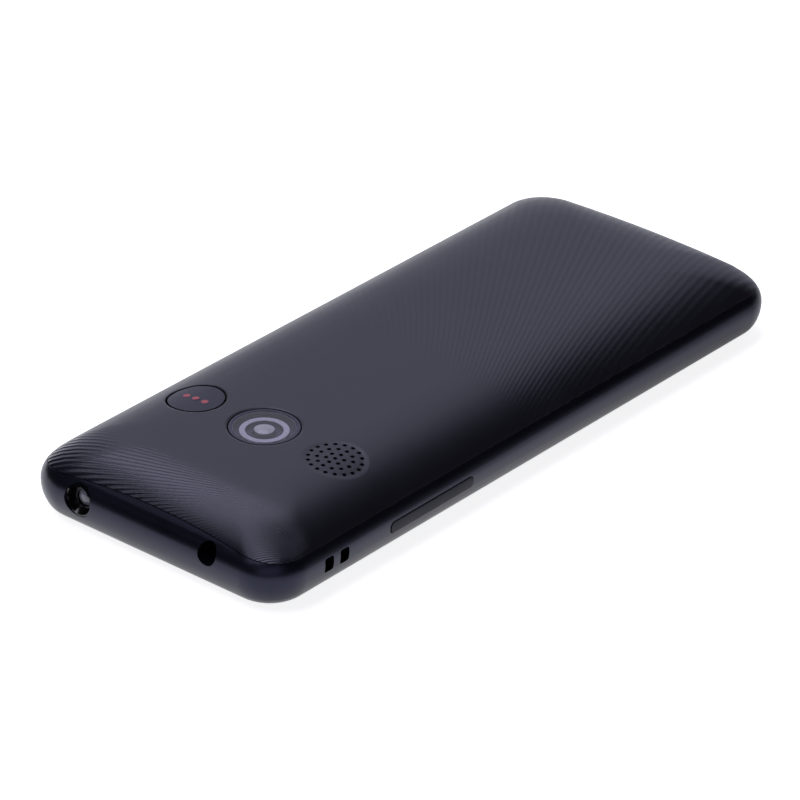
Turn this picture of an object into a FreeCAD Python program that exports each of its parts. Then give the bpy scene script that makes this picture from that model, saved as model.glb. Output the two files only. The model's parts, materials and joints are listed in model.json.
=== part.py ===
import FreeCAD, Part
import math
import os

# Bar-shaped keypad telephone, lying on its front. Millimetres.
# +Z points out of the rear cover, +Y runs to the bottom end, +X is the side of the volume key.
# The origin is on the front plane, under the middle of the body.

Vector = FreeCAD.Vector

# ---------------------------------------------------------------- body form
phone_length = 132.0
phone_width = 54.0
phone_thickness = 13.25
corner_radius = 7.9
end_bow = 1.76              # how far the bottom end bulges beyond its corners
front_inset = 4.45          # width of the rounding between the side and the flat front
widest_height = 5.5         # height at which the side stands furthest out
front_radius = 4.1          # tighter of the rounding's two radii, next to the flat front
rim_height = 8.2            # height at which the side turns into the crown
rim_inset = 1.06
crown_inset = 19.5          # how far in from the side the rear cover becomes flat
crown_power = 3.6           # how soon the crown levels out
crown_root = 1.135          # how steeply the crown rises at its rim
crown_spacing = 1.7         # how much closer the crown's sections lie near its rim
crown_steps = 8             # strips of the rear surface
hidden_steps = 5            # strips of the cover's underside and of the housing's hollow
deck_steps = 3              # strips of the deck under the cover
hidden_corner_steps = 4     # straight steps round a corner of a hidden surface
seam_rise = 1.45            # how much higher the parting line runs over the top end
seam_length = 15.0          # stretch from the top end in which the parting line is arched
seam_gap = 0.12

# ---------------------------------------------------------------- walls and clearances
side_wall = 1.2
front_wall = 1.2
cover_wall = 1.1
fit_gap = 0.1               # between pieces that are placed by hand
key_gap = 0.2               # around a front key
press_clearance = 0.06      # left between a pressed key and what it works on
rest_gap = 0.05             # between pieces that lie on each other
root = 0.3                  # how far a rib or boss is rooted in the wall that carries it

# ---------------------------------------------------------------- row of the rear cover
row_from_top = 28.3         # from the top end to the three round places
sos_offset = 14.65
speaker_offset = 14.9
sos_key_radius = 4.75
sos_key_gap = 0.27
sos_key_sink = 0.15
sos_key_travel = 0.4
sos_flange_margin = 0.85
sos_flange_height = 0.6
sos_stem_length = 0.2
sos_stem_radius = 1.5
camera_hole_radius = 6.05
camera_bezel_gap = 0.27
camera_bezel_rim = 0.45
camera_rim_sink = 0.15      # of the bezel's rim below the crown
camera_flange_margin = 1.1
camera_flange_height = 0.7
camera_window_thickness = 0.72
camera_window_sink = 0.12
camera_ring_inner = 3.1
camera_ring_outer = 4.05
camera_ring_thickness = 0.15
camera_lens_radius = 1.65
camera_lens_height = 0.6
camera_barrel_radius = 3.2
camera_base_side = 8.0
camera_base_height = 3.6
grille_hole_radius = 0.38
grille_ring_pitch = 1.45
grille_rings = 3
grille_hole_sides = 8
gauze_thickness = 0.15

# ---------------------------------------------------------------- top end, side and bottom end
torch_offset = 14.6
torch_height = 5.95
torch_radius = 2.75
torch_sink = 0.45
torch_cup_depth = 3.0
torch_lens_radius = 1.5
torch_lens_depth = 1.5
torch_lens_ball = 1.9       # radius of the lens's dome
torch_cup_wall = 0.3
torch_led_side = 2.8
torch_led_depth = 1.0
jack_offset = 12.7
jack_height = 6.95
jack_bore_radius = 1.85
jack_set_back = 3.9         # from the top end to the front of the socket
jack_bore_depth = 10.6
jack_body_length = 12.0
jack_body_width = 6.2
jack_nose_radius = 2.4
jack_nose_length = 1.6
slot_width = 2.1
slot_height = 2.5
slot_middle = 5.15          # height of the middle of the lanyard slots
slot_from_top = 12.0        # from the top end to the first slot
lanyard_bar_width = 1.57
lanyard_tunnel_depth = 2.2
rocker_length = 20.4
rocker_height = 1.9
rocker_middle = 5.0
rocker_from_top = 38.1      # from the top end to the rocker's middle
rocker_gap = 0.15
rocker_proud = 0.12
rocker_flange_margin = 0.5
rocker_flange_thickness = 0.45
rocker_play = 0.65          # room for the flange to tilt behind the wall
rocker_nub_reach = 7.0
rocker_nub_height = 0.5
rocker_nub_width = 1.2
side_switch_size = 2.4
side_switch_depth = 0.8
side_switch_body = 0.5
side_flex_thickness = 0.3
side_support_thickness = 0.6
side_support_margin = 0.5
usb_width = 7.6
usb_thickness = 2.6
usb_depth = 5.6
usb_shell = 0.25
usb_tongue = 0.7
usb_corner = 0.9
usb_set_back = 1.0
usb_margin = 0.25
microphone_hole_radius = 0.5
microphone_offset = 9.0
microphone_side = 2.6
microphone_height = 1.0
microphone_set_back = 5.6   # from the bottom end to the microphone
notch_radius = 8.0          # finger-nail notch that opens the cover
notch_depth = 0.8
notch_height = 1.0
notch_y = 40.0

# ---------------------------------------------------------------- front face
window_width = 41.0
window_thickness = 1.0
window_sink = 0.08
window_margin = 1.0         # from the flat front's top end to the window
window_corner = 3.0
frame_ledge = 0.8           # depth of the ledge that the window is glued to
ledge_width = 1.3
display_stack = 2.3         # from the ledge to the main board
display_tray_wall = 0.45
display_corner = 1.0
earpiece_zone = 7.4         # length of the window above the display
earpiece_slot_length = 10.0
earpiece_slot_width = 1.3
receiver_length = 12.0
receiver_width = 4.8
receiver_height = 1.9
keypad_length = 59.4
keypad_end_margin = 2.2
keypad_side_margin = 1.9
digit_rows = 4
digit_columns = 3
digit_zone = 36.8           # length of the block of digit keys
key_web = 1.3               # bar between two digit keys
key_sink = 0.15
key_corner = 1.2
key_corner_steps = 2        # straight steps round a corner of a repeated key
key_flange_margin = 0.5
key_flange_height = 0.55
key_stem_side = 2.4
key_travel = 0.3
nav_side = 17.6
nav_corner = 6.5
ok_side = 8.2
ok_gap = 0.3                # around the middle key
ok_foot_margin = 1.1        # foot of its stem, which holds it on the mat
mat_thickness = 0.3
mat_stem_gap = 0.6
mat_foot_side = 1.4
dome_side = 3.6             # across the four feet of a snap dome
dome_top_side = 2.0
dome_height = 0.3
dome_sheet_thickness = 0.1

# ---------------------------------------------------------------- inside
board_thickness = 0.8
board_margin = 0.5
bay_floor = 0.6
bay_wall = 0.9
bay_clearance = 0.2
battery_side_margin = 9.4   # from the body's side to the battery
battery_cover_gap = 0.35
row_to_battery = 12.7       # from the row of round places to the battery
deck_gap = 0.3              # between the chassis and the rear cover
deck_wall = 1.0
collar_wall = 0.9
card_zone = 19.0
card_socket_height = 1.4
card_socket_gap = 2.0
card_socket_wall = 0.3
card_socket_lip = 2.8
sim_socket_width = 15.6
memory_socket_width = 13.4
antenna_zone = 13.6
antenna_length = 8.0
antenna_height = 2.8
antenna_gap = 0.6
boss_inset = 3.7            # from the body's side to the screw line
boss_radius = 1.55
screw_end_margin = 7.5
screw_radius = 0.72
screw_sides = 12            # flat sides of screws, bosses and posts
screw_bore_gap = 0.05
screw_head_radius = 1.35
screw_head_height = 0.8
screw_seat_thickness = 1.5  # chassis thickness under a screw head
screw_depth = 2.1           # how far a screw reaches into its boss
can_height = 1.2
can_wall = 0.2
can_width = 11.0
can_length = 12.7
can_gap = 1.5
post_wall = 0.6
battery_corner = 1.5
motor_radius = 4.0
motor_height = 2.6
motor_gap = 4.0             # from the torch to the vibration motor
speaker_radius = 5.5
speaker_height = 2.8
speaker_gasket_thickness = 0.35
speaker_floor = 0.6
speaker_edge = 0.65
speaker_recess = 0.5
speaker_coil_radius = 1.6
tact_side = 5.2
tact_height = 1.3
tact_plunger_radius = 1.2
tact_plunger_height = 0.4
clip_length = 6.0
clip_thickness = 0.65
clip_depth = 0.8
clip_gap = 0.15
connector_width = 9.0
connector_depth = 2.6
connector_height = 4.4
connector_pitch = 2.7
blade_width = 1.0
blade_low = 1.2

# ---------------------------------------------------------------- places worked out from the sizes
half_width = phone_width / 2
half_length = phone_length / 2
full_bow_radius = (half_width ** 2 + end_bow ** 2) / (2 * end_bow)
bow_centre_y = half_length - full_bow_radius
side_radius = (front_inset ** 2 + (widest_height - front_radius) ** 2 - front_radius ** 2) \
    / (2 * (front_inset - front_radius))
lean_radius = (rim_inset ** 2 + (rim_height - widest_height) ** 2) / (2 * rim_inset)
front_turn = math.atan2(widest_height - front_radius, side_radius - front_inset)
top_y = -half_length
bottom_y = half_length
row_y = top_y + row_from_top
sos_x = -sos_offset
speaker_x = speaker_offset
sos_hole_radius = sos_key_radius + sos_key_gap
frame_back = window_sink + window_thickness + frame_ledge
board_front = frame_back + display_stack
board_back = board_front + board_thickness
chassis_front = board_back + fit_gap
flat_half_width = half_width - front_inset
flat_top = top_y + front_inset
flat_bottom = bottom_y - front_inset
keypad_bottom = flat_bottom - keypad_end_margin
keypad_top = keypad_bottom - keypad_length
window_top = flat_top + window_margin
window_bottom = keypad_top - window_margin
display_top = window_top + earpiece_zone
display_bottom = window_bottom - ledge_width
display_length = display_bottom - display_top
display_width = window_width - 2 * ledge_width
display_y = (display_top + display_bottom) / 2
display_floor = board_front - display_tray_wall - 3 * rest_gap
window_length = window_bottom - window_top
window_y = (window_top + window_bottom) / 2
upper_zone = keypad_length - digit_zone - key_web
nav_y = keypad_top + upper_zone / 2
earpiece_y = window_top + earpiece_zone / 2
screw_x = half_width - boss_inset
battery_width = phone_width - 2 * battery_side_margin
battery_top = row_y + row_to_battery
battery_bottom = bottom_y - antenna_zone - card_zone
battery_front = chassis_front + bay_floor + fit_gap
antenna_top = bottom_y - antenna_zone
jack_front = top_y + jack_set_back
slot_start = top_y + slot_from_top
slot_second = slot_start + slot_width + lanyard_bar_width
slot_end = slot_second + slot_width
rocker_y = top_y + rocker_from_top
rocker_back = half_width - side_wall - rocker_play
rocker_front = rocker_back - rocker_flange_thickness
support_x = rocker_front - rocker_nub_height - 3 * press_clearance - side_switch_depth - side_flex_thickness
usb_height = board_back + rest_gap + usb_thickness / 2
usb_front = bottom_y - usb_set_back
tunnel_x = half_width - side_wall
key_flange_front = front_wall + fit_gap
key_flange_back = key_flange_front + key_flange_height
mat_front = key_flange_back + key_travel + rest_gap
dome_base = board_front - dome_sheet_thickness
stem_end = dome_base - dome_height - press_clearance - key_travel
keypad_width = 2 * (flat_half_width - keypad_side_margin + key_flange_margin)
keypad_y = (keypad_top + keypad_bottom) / 2


# ---------------------------------------------------------------- simple solids
def block(x_low, x_high, y_low, y_high, z_low, z_high):
    return Part.makeBox(x_high - x_low, y_high - y_low, z_high - z_low, Vector(x_low, y_low, z_low))


def plate(x, y, width, length, z_low, z_high):
    return block(x - width / 2, x + width / 2, y - length / 2, y + length / 2, z_low, z_high)


def disc(x, y, radius, z_low, z_high):
    return Part.makeCylinder(radius, z_high - z_low, Vector(x, y, z_low))


def ring(x, y, inner, outer, z_low, z_high):
    return disc(x, y, outer, z_low, z_high).cut(disc(x, y, inner, z_low, z_high))


def rod_along_y(x, z, radius, y_low, y_high):
    return Part.makeCylinder(radius, y_high - y_low, Vector(x, y_low, z), Vector(0, 1, 0))


def square(x, y, side, z):
    half = side / 2
    corners = [(-half, -half), (half, -half), (half, half), (-half, half), (-half, -half)]
    return Part.makePolygon([Vector(x + step_x, y + step_y, z) for step_x, step_y in corners])


def rounded_plate(x, y, width, length, radius, z_low, z_high):
    """A plate with four round corners."""
    bend = min(radius, width * 0.49, length * 0.49)
    body = plate(x, y, width, length, z_low, z_high)
    upright = [edge for edge in body.Edges if abs(edge.tangentAt(edge.FirstParameter).z) > 0.9]
    return body.makeFillet(bend, upright)


def chamfered(body, z, size):
    """The same solid with its flat end at height z chamfered."""
    rim = [edge for edge in body.Edges if abs(edge.BoundBox.ZMin - z) + abs(edge.BoundBox.ZMax - z) < 0.001]
    return body.makeChamfer(size, rim)


def facetted(points, z_low, z_high):
    """An upright solid over a closed run of straight steps."""
    corners = [Vector(x, y, z_low) for x, y in points + points[:1]]
    return Part.Face(Part.makePolygon(corners)).extrude(Vector(0, 0, z_high - z_low))


def stepped_corner(x, y, radius, start, steps):
    """Points of a quarter turn round a corner, from the angle start on."""
    turns = [start + math.pi / 2 * step / steps for step in range(steps + 1)]
    return [(x + radius * math.cos(turn), y + radius * math.sin(turn)) for turn in turns]


def stepped_plate(x, y, width, length, radius, z_low, z_high):
    """A plate that is repeated often: its round corners go in straight steps."""
    side_x = width / 2 - radius
    side_y = length / 2 - radius
    points = []
    for quarter, (sign_x, sign_y) in enumerate(((1, 1), (-1, 1), (-1, -1), (1, -1))):
        points += stepped_corner(x + sign_x * side_x, y + sign_y * side_y, radius, math.pi / 2 * quarter,
                                 key_corner_steps)
    return facetted(points, z_low, z_high)


def drum(x, y, radius, z_low, z_high, sides):
    """An upright drum with flat sides, for what is small and repeated often."""
    turns = [2 * math.pi * (side + 0.5) / sides for side in range(sides)]
    points = [(x + radius * math.cos(turn), y + radius * math.sin(turn)) for turn in turns]
    return facetted(points, z_low, z_high)


def fuse_all(first, others):
    return first.multiFuse(others).removeSplitter() if others else first


def skin(outlines):
    """A solid through matching closed outlines: flats between straight edges, ruled faces between arcs."""
    faces = [Part.Face(outlines[0]), Part.Face(outlines[-1])]
    for low, high in zip(outlines, outlines[1:]):
        for start, end in zip(low.OrderedEdges, high.OrderedEdges):
            first, second = [vertex.Point for vertex in start.Vertexes]
            fourth, third = [vertex.Point for vertex in end.Vertexes]
            straight = start.Curve.TypeId == "Part::GeomLine"
            if straight and (second - first).cross(third - fourth).Length < 0.0001:
                faces.append(Part.Face(Part.makePolygon([first, second, third, fourth, first])))
            else:
                faces.append(Part.makeRuledSurface(start, end))
    shell = Part.makeShell(faces)
    shell.sewShape()
    solid = Part.makeSolid(shell)
    if solid.Volume < 0:
        solid.reverse()
    return solid


# ---------------------------------------------------------------- body surfaces
def bend_centre(inset, bend):
    """Middle of the round corner next to the bowed bottom end."""
    x = half_width - inset - bend
    return x, bow_centre_y + math.sqrt((full_bow_radius - inset - bend) ** 2 - x ** 2)


def outline(inset, z, bend=None):
    """The body's plan outline, moved inwards by inset, with its bowed bottom end."""
    bend = corner_radius - inset if bend is None else bend
    side = half_width - inset
    end = half_length - inset
    bend_x, bend_y = bend_centre(inset, bend)
    slope = math.atan2(bend_y - bow_centre_y, bend_x)
    touch_x = bend_x + bend * math.cos(slope)
    touch_y = bend_y + bend * math.sin(slope)
    middle_x = bend_x + bend * math.cos(slope / 2)
    middle_y = bend_y + bend * math.sin(slope / 2)
    top_bend_y = -end + bend
    slant = bend * math.sqrt(0.5)

    def at(x, y):
        return Vector(x, y, z)

    edges = [
        Part.LineSegment(at(side, top_bend_y), at(side, bend_y)),
        Part.Arc(at(side, bend_y), at(middle_x, middle_y), at(touch_x, touch_y)),
        Part.Arc(at(touch_x, touch_y), at(0, end), at(-touch_x, touch_y)),
        Part.Arc(at(-touch_x, touch_y), at(-middle_x, middle_y), at(-side, bend_y)),
        Part.LineSegment(at(-side, bend_y), at(-side, top_bend_y)),
        Part.Arc(at(-side, top_bend_y), at(-bend_x - slant, top_bend_y - slant), at(-bend_x, -end)),
        Part.LineSegment(at(-bend_x, -end), at(bend_x, -end)),
        Part.Arc(at(bend_x, -end), at(bend_x + slant, top_bend_y - slant), at(side, top_bend_y)),
    ]
    return Part.Wire([edge.toShape() for edge in edges])


def plain_outline(inset, z, bend=None):
    """The same outline for hidden surfaces: straight steps round the corners, two along the bow."""
    bend = corner_radius - inset if bend is None else bend
    end = half_length - inset
    bend_x, bend_y = bend_centre(inset, bend)
    slope = math.atan2(bend_y - bow_centre_y, bend_x)
    turns = [slope * step / hidden_corner_steps for step in range(hidden_corner_steps + 1)]
    right = stepped_corner(bend_x, bend - end, bend, -math.pi / 2, hidden_corner_steps)
    right += [(bend_x + bend * math.cos(turn), bend_y + bend * math.sin(turn)) for turn in turns]
    points = right + [(0.0, end)] + [(-x, y) for x, y in reversed(right)]
    return Part.makePolygon([Vector(x, y, z) for x, y in points + points[:1]])


def prism(inset, z_low, z_high, draw):
    return Part.Face(draw(inset, z_low)).extrude(Vector(0, 0, z_high - z_low))


def edge_profile(shrink):
    """Section through the side below the rim: two arcs round the front edge, one that leans in above."""
    def arc(inset, z, radius, start, end):
        def at(turn):
            return Vector(radius * math.cos(turn) - inset, 0, z - radius * math.sin(turn))
        return Part.Arc(at(start), at((start + end) / 2), at(end)).toShape()

    lean = math.asin((rim_height - widest_height) / lean_radius)
    front = arc(front_inset, front_radius, front_radius - shrink, math.pi / 2, front_turn)
    side = arc(side_radius, widest_height, side_radius - shrink, front_turn, 0)
    leaning = arc(shrink + lean_radius, widest_height, lean_radius, 0, -lean)
    inner_top = Vector(-front_inset, 0, rim_height)
    rim = Part.LineSegment(leaning.Vertexes[-1].Point, inner_top).toShape()
    inner = Part.LineSegment(inner_top, front.Vertexes[0].Point).toShape()
    return Part.Face(Part.Wire([front, side, leaning, rim, inner]))


def tub(shrink):
    """The lower body up to the rim: its edge profile run along the sides and turned round the corners."""
    profile = edge_profile(shrink)
    upright = Vector(0, 0, 1)
    bend_x, bend_y = bend_centre(0, corner_radius)
    slope = math.degrees(math.atan2(bend_y - bow_centre_y, bend_x))
    top_bend_y = top_y + corner_radius
    side = profile.translated(Vector(half_width, top_bend_y, 0))
    top_corner = side.revolve(Vector(bend_x, top_bend_y, 0), upright, -90)
    side_run = side.extrude(Vector(0, bend_y - top_bend_y, 0))
    bottom_side = profile.translated(Vector(half_width, bend_y, 0))
    bottom_corner = bottom_side.revolve(Vector(bend_x, bend_y, 0), upright, slope)
    bowed = profile.translated(Vector(full_bow_radius, 0, 0))
    bowed.rotate(Vector(0, 0, 0), upright, slope)
    bowed.translate(Vector(0, bow_centre_y, 0))
    bowed_run = bowed.revolve(Vector(0, bow_centre_y, 0), upright, 180 - 2 * slope)
    end = profile.rotated(Vector(0, 0, 0), upright, -90).translated(Vector(bend_x, top_y, 0))
    end_run = end.extrude(Vector(-2 * bend_x, 0, 0))
    right = [top_corner, side_run, bottom_corner]
    left = [piece.mirror(Vector(0, 0, 0), Vector(1, 0, 0)) for piece in right]
    return fuse_all(prism(front_inset, shrink, rim_height, outline), right + left + [bowed_run, end_run])


def crown_rise(share):
    """Part of the crown's full height at a share of the way from its rim to its flat middle."""
    held = min(max(share, 0.0), 1.0)
    return (1 - (1 - held) ** crown_power) ** (1 / crown_root)


def crown_height(x, y, shrink=0.0):
    """Height of the rear surface over a point, or of the same surface moved inwards by shrink."""
    inset = min(half_width - abs(x), half_length - abs(y))
    reach = crown_inset - rim_inset - shrink
    share = (inset - rim_inset - shrink) / reach
    return rim_height + (phone_thickness - shrink - rim_height) * crown_rise(share)


def crown_outlines(shrink, steps, draw):
    """Outlines from the rim up to the rear surface that draw in with corners of one radius."""
    reach = crown_inset - rim_inset - shrink
    height = phone_thickness - shrink - rim_height
    bend = corner_radius - rim_inset - shrink
    shares = [(step / steps) ** crown_spacing for step in range(steps + 1)]
    return [draw(rim_inset + shrink + reach * share, rim_height + height * crown_rise(share), bend)
            for share in shares]


def under_crown(shrink, z_low, steps):
    """Everything from a height up to the rear surface, as wide as the crown's rim."""
    return skin([plain_outline(rim_inset + shrink, z_low)] + crown_outlines(shrink, steps, plain_outline))


def hollow(shrink):
    """The inside of the body: flats round the front edge, upright sides and the underside of the crown."""
    radius = front_radius - shrink
    turns = (math.pi / 2, (math.pi / 2 + front_turn) / 2, front_turn)
    sections = [plain_outline(front_inset - radius * math.cos(turn), front_radius - radius * math.sin(turn))
                for turn in turns]
    radius = side_radius - shrink
    for turn in (front_turn / 2, 0):
        inset = side_radius - radius * math.cos(turn)
        sections.append(plain_outline(inset, widest_height - radius * math.sin(turn)))
    return skin(sections + crown_outlines(shrink, hidden_steps, plain_outline))


def above_seam(lift):
    """Everything above the parting surface: level, and arched over the top end."""
    low = rim_height + lift
    above = block(-half_width - 1, half_width + 1, top_y - 1, bottom_y + 1, low, 2 * phone_thickness)
    reach = half_width - rim_inset - side_wall
    start = Vector(-reach, top_y - 1, low)
    finish = Vector(reach, top_y - 1, low)
    arch = Part.Arc(start, Vector(0, top_y - 1, low + seam_rise), finish).toShape()
    hump = Part.Face(Part.Wire([arch, Part.LineSegment(finish, start).toShape()]))
    return above.cut(hump.extrude(Vector(0, seam_length + 1, 0)))


# ---------------------------------------------------------------- housing
def front_keys():
    """Name, middle, size and corner of every key on the front."""
    digit_span = flat_half_width - keypad_side_margin
    column_pitch = (2 * digit_span + key_web) / digit_columns
    row_pitch = digit_zone / digit_rows
    first_row = keypad_bottom - digit_zone + row_pitch / 2
    names = ["one", "two", "three", "four", "five", "six", "seven", "eight", "nine", "star", "zero", "hash"]
    keys = []
    for index, name in enumerate(names):
        x = (index % digit_columns - (digit_columns - 1) / 2) * column_pitch
        y = first_row + index // digit_columns * row_pitch
        keys.append(("key_" + name, x, y, column_pitch - key_web, row_pitch - key_web))
    upper_x = (digit_span + nav_side / 2 + key_web) / 2
    upper_width = digit_span - nav_side / 2 - key_web
    upper_length = (upper_zone - key_web) / 2
    upper_rows = (keypad_top + upper_length / 2, keypad_top + upper_length * 1.5 + key_web)
    sides = (("soft_key_left", -1, 0), ("soft_key_right", 1, 0), ("call_key", -1, 1), ("end_key", 1, 1))
    for name, side, row in sides:
        keys.append((name, side * upper_x, upper_rows[row], upper_width, upper_length))
    return keys


def dome_places():
    places = [(x, y) for name, x, y, width, length in front_keys()]
    reach = (nav_side + ok_side) / 4
    for turn in range(4):
        angle = math.pi / 2 * turn
        places.append((reach * math.cos(angle), nav_y + reach * math.sin(angle)))
    places.append((0.0, nav_y))
    return places


def screw_places():
    rows = (top_y + screw_end_margin, window_bottom - ledge_width, bottom_y - screw_end_margin - end_bow)
    return [(side * screw_x, y) for y in rows for side in (-1, 1)]


def slot_cut():
    """Both lanyard slots and the tunnel behind the bar between them."""
    low = slot_middle - slot_height / 2
    high = slot_middle + slot_height / 2
    slots = []
    for start in (slot_start, slot_second):
        slot = block(tunnel_x - 1, half_width + 1, start, start + slot_width, low, high)
        slots.append(slot.makeFillet(0.4, [e for e in slot.Edges if abs(e.tangentAt(0).x) > 0.9]))
    tunnel = block(tunnel_x - lanyard_tunnel_depth, tunnel_x, slot_start, slot_end, low, high)
    return fuse_all(tunnel, slots)


def lanyard_block(margin=0.0):
    wall = collar_wall + margin
    return block(tunnel_x - lanyard_tunnel_depth - wall, half_width, slot_start - wall, slot_end + wall,
                 slot_middle - slot_height / 2 - wall, slot_middle + slot_height / 2 + wall)


def jack_envelope(margin=0.0):
    """The socket's body and nose, with a margin for the cut-outs around it."""
    half = jack_body_width / 2 + margin
    body_front = jack_front + jack_nose_length
    body_back = jack_front + jack_body_length
    body = block(jack_offset - half, jack_offset + half, body_front - margin, body_back + margin,
                 board_front + fit_gap - margin, jack_height + jack_nose_radius + margin)
    nose = rod_along_y(jack_offset, jack_height, jack_nose_radius + margin, jack_front - margin, body_front)
    return body.fuse(nose)


def jack_room(margin):
    """Room for the socket and for the housing's collar in front of it."""
    return jack_envelope(margin).fuse(rod_along_y(jack_offset, jack_height, jack_nose_radius + margin,
                                                  top_y, jack_front + margin))


def rocker_bar(margin, x_low, x_high):
    height = rocker_height + 2 * margin
    length = rocker_length + 2 * margin
    bar = block(x_low, x_high, rocker_y - length / 2, rocker_y + length / 2,
                rocker_middle - height / 2, rocker_middle + height / 2)
    return bar.makeFillet(height * 0.45, [e for e in bar.Edges if abs(e.tangentAt(0).x) > 0.9])


def usb_mouth(margin, y_low, y_high):
    bottom = usb_height - usb_thickness / 2 - margin
    top = usb_height + usb_thickness / 2 + margin
    half = usb_width / 2 + margin
    mouth = block(-half, half, y_low, y_high, bottom, top)
    return mouth.makeFillet(usb_corner + margin, [e for e in mouth.Edges if abs(e.tangentAt(0).y) > 0.9])


def housing_fittings():
    """Everything that stands on the inside of the front shell."""
    frame = block(-window_width / 2 - ledge_width, window_width / 2 + ledge_width, window_top - ledge_width,
                  keypad_top - key_flange_margin - key_gap, front_wall - root, frame_back)
    support_reach = rocker_nub_reach + side_switch_size / 2 + side_support_margin
    support = block(support_x - side_support_thickness, support_x, rocker_y - support_reach,
                    rocker_y + support_reach, front_wall - root, rocker_middle + side_switch_size / 2)
    collar = rod_along_y(jack_offset, jack_height, jack_nose_radius, top_y, jack_front - fit_gap)
    bosses = [drum(x, y, boss_radius, front_wall - root, board_front, screw_sides)
              for x, y in screw_places()]
    return [piece.common(outer_body) for piece in [frame, support, collar, lanyard_block()] + bosses]


def front_housing():
    """Moulded front shell: sides, front web, display frame, screw bosses and all its openings."""
    shell = fuse_all(outer_body.cut(hollow(side_wall)), housing_fittings())
    cuts = [above_seam(-seam_gap / 2), slot_cut()]
    cuts.append(rocker_bar(rocker_gap, half_width - side_wall - 1, half_width + 1))
    cuts.append(rounded_plate(0, window_y, window_width + 2 * fit_gap, window_length + 2 * fit_gap,
                              window_corner + fit_gap, -1, window_sink + window_thickness))
    behind = frame_back + 1
    cuts.append(rounded_plate(0, display_y, display_width, display_length, display_corner, -1, behind))
    cuts.append(plate(0, earpiece_y, earpiece_slot_length, earpiece_slot_width, -1, behind))
    for name, x, y, width, length in front_keys():
        cuts.append(stepped_plate(x, y, width + 2 * key_gap, length + 2 * key_gap, key_corner + key_gap,
                                  -1, front_wall + root))
    nav_opening = nav_side + 2 * key_gap
    cuts.append(rounded_plate(0, nav_y, nav_opening, nav_opening, nav_corner + key_gap,
                              -1, front_wall + root))
    for x, y in screw_places():
        cuts.append(drum(x, y, screw_radius + screw_bore_gap, board_front - screw_depth - fit_gap,
                         board_front + 1, screw_sides))
    cuts.append(rod_along_y(jack_offset, jack_height, jack_bore_radius, top_y - 1, jack_front))
    cuts.append(rod_along_y(-torch_offset, torch_height, torch_radius, top_y - 1, top_y + torch_cup_depth))
    cuts.append(usb_mouth(usb_margin, bottom_y - usb_set_back - side_wall, bottom_y + 1))
    cuts.append(rod_along_y(-microphone_offset, widest_height, microphone_hole_radius,
                            bottom_y - side_wall - end_bow, bottom_y + 1))
    cuts.append(disc(-half_width - notch_radius + notch_depth, notch_y, notch_radius,
                     rim_height - notch_height, rim_height + 1))
    for cut in cuts:
        shell = shell.cut(cut)
    return shell


def display_window():
    glass = rounded_plate(0, window_y, window_width, window_length, window_corner,
                          window_sink, window_sink + window_thickness - 0.02)
    slot = rounded_plate(0, earpiece_y, earpiece_slot_length, earpiece_slot_width, earpiece_slot_width / 2,
                         -1, frame_back)
    return glass.cut(slot)


def earpiece_gauze():
    return plate(0, earpiece_y, earpiece_slot_length - 0.2, earpiece_slot_width - 0.2,
                 window_sink + window_thickness, frame_back)


def earpiece_receiver():
    case = rounded_plate(0, earpiece_y, receiver_length, receiver_width, 1.2,
                         frame_back + fit_gap, frame_back + fit_gap + receiver_height)
    mouth = rounded_plate(0, earpiece_y, receiver_length - 2.4, receiver_width - 2.4, 0.8,
                          frame_back, frame_back + fit_gap + 0.4)
    return case.cut(mouth)


def display_panel():
    margin = ledge_width - display_tray_wall - 2 * fit_gap
    return plate(0, display_y, display_width + 2 * margin, display_length + 2 * margin,
                 frame_back + rest_gap, display_floor - fit_gap)


def display_tray():
    """Pressed tray behind the display."""
    outer = ledge_width - fit_gap
    inner = outer - display_tray_wall
    tray = plate(0, display_y, display_width + 2 * outer, display_length + 2 * outer,
                 frame_back + rest_gap, display_floor + display_tray_wall)
    return tray.cut(plate(0, display_y, display_width + 2 * inner, display_length + 2 * inner,
                          0, display_floor))


# ---------------------------------------------------------------- keys of the front
def key_solid(cap, x, y, width, length, stems):
    """Cap that shows through the front, flange behind the web, stems that reach the domes."""
    flange = plate(x, y, width + 2 * key_flange_margin, length + 2 * key_flange_margin,
                   key_flange_front, key_flange_back)
    legs = [plate(stem_x, stem_y, key_stem_side, key_stem_side, key_flange_front, stem_end)
            for stem_x, stem_y in stems]
    return fuse_all(cap, [flange] + legs)


def front_key(x, y, width, length):
    cap = stepped_plate(x, y, width, length, key_corner, key_sink, key_flange_back)
    return key_solid(cap, x, y, width, length, [(x, y)])


def nav_ring():
    opening = ok_side + 2 * ok_gap
    cap = rounded_plate(0, nav_y, nav_side, nav_side, nav_corner, key_sink, key_flange_back)
    body = key_solid(cap, 0, nav_y, nav_side, nav_side, dome_places()[-5:-1])
    return body.cut(plate(0, nav_y, opening, opening, -1, key_flange_back + 1))


def ok_key():
    """Middle key without a flange: the foot of its stem holds it on the mat."""
    cap = stepped_plate(0, nav_y, ok_side, ok_side, key_corner, key_sink, key_flange_back)
    stem = plate(0, nav_y, key_stem_side, key_stem_side, key_flange_front, stem_end)
    foot_side = key_stem_side + 2 * ok_foot_margin
    foot = plate(0, nav_y, foot_side, foot_side, mat_front + mat_thickness + rest_gap, stem_end)
    return fuse_all(cap, [stem, foot])


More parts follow.
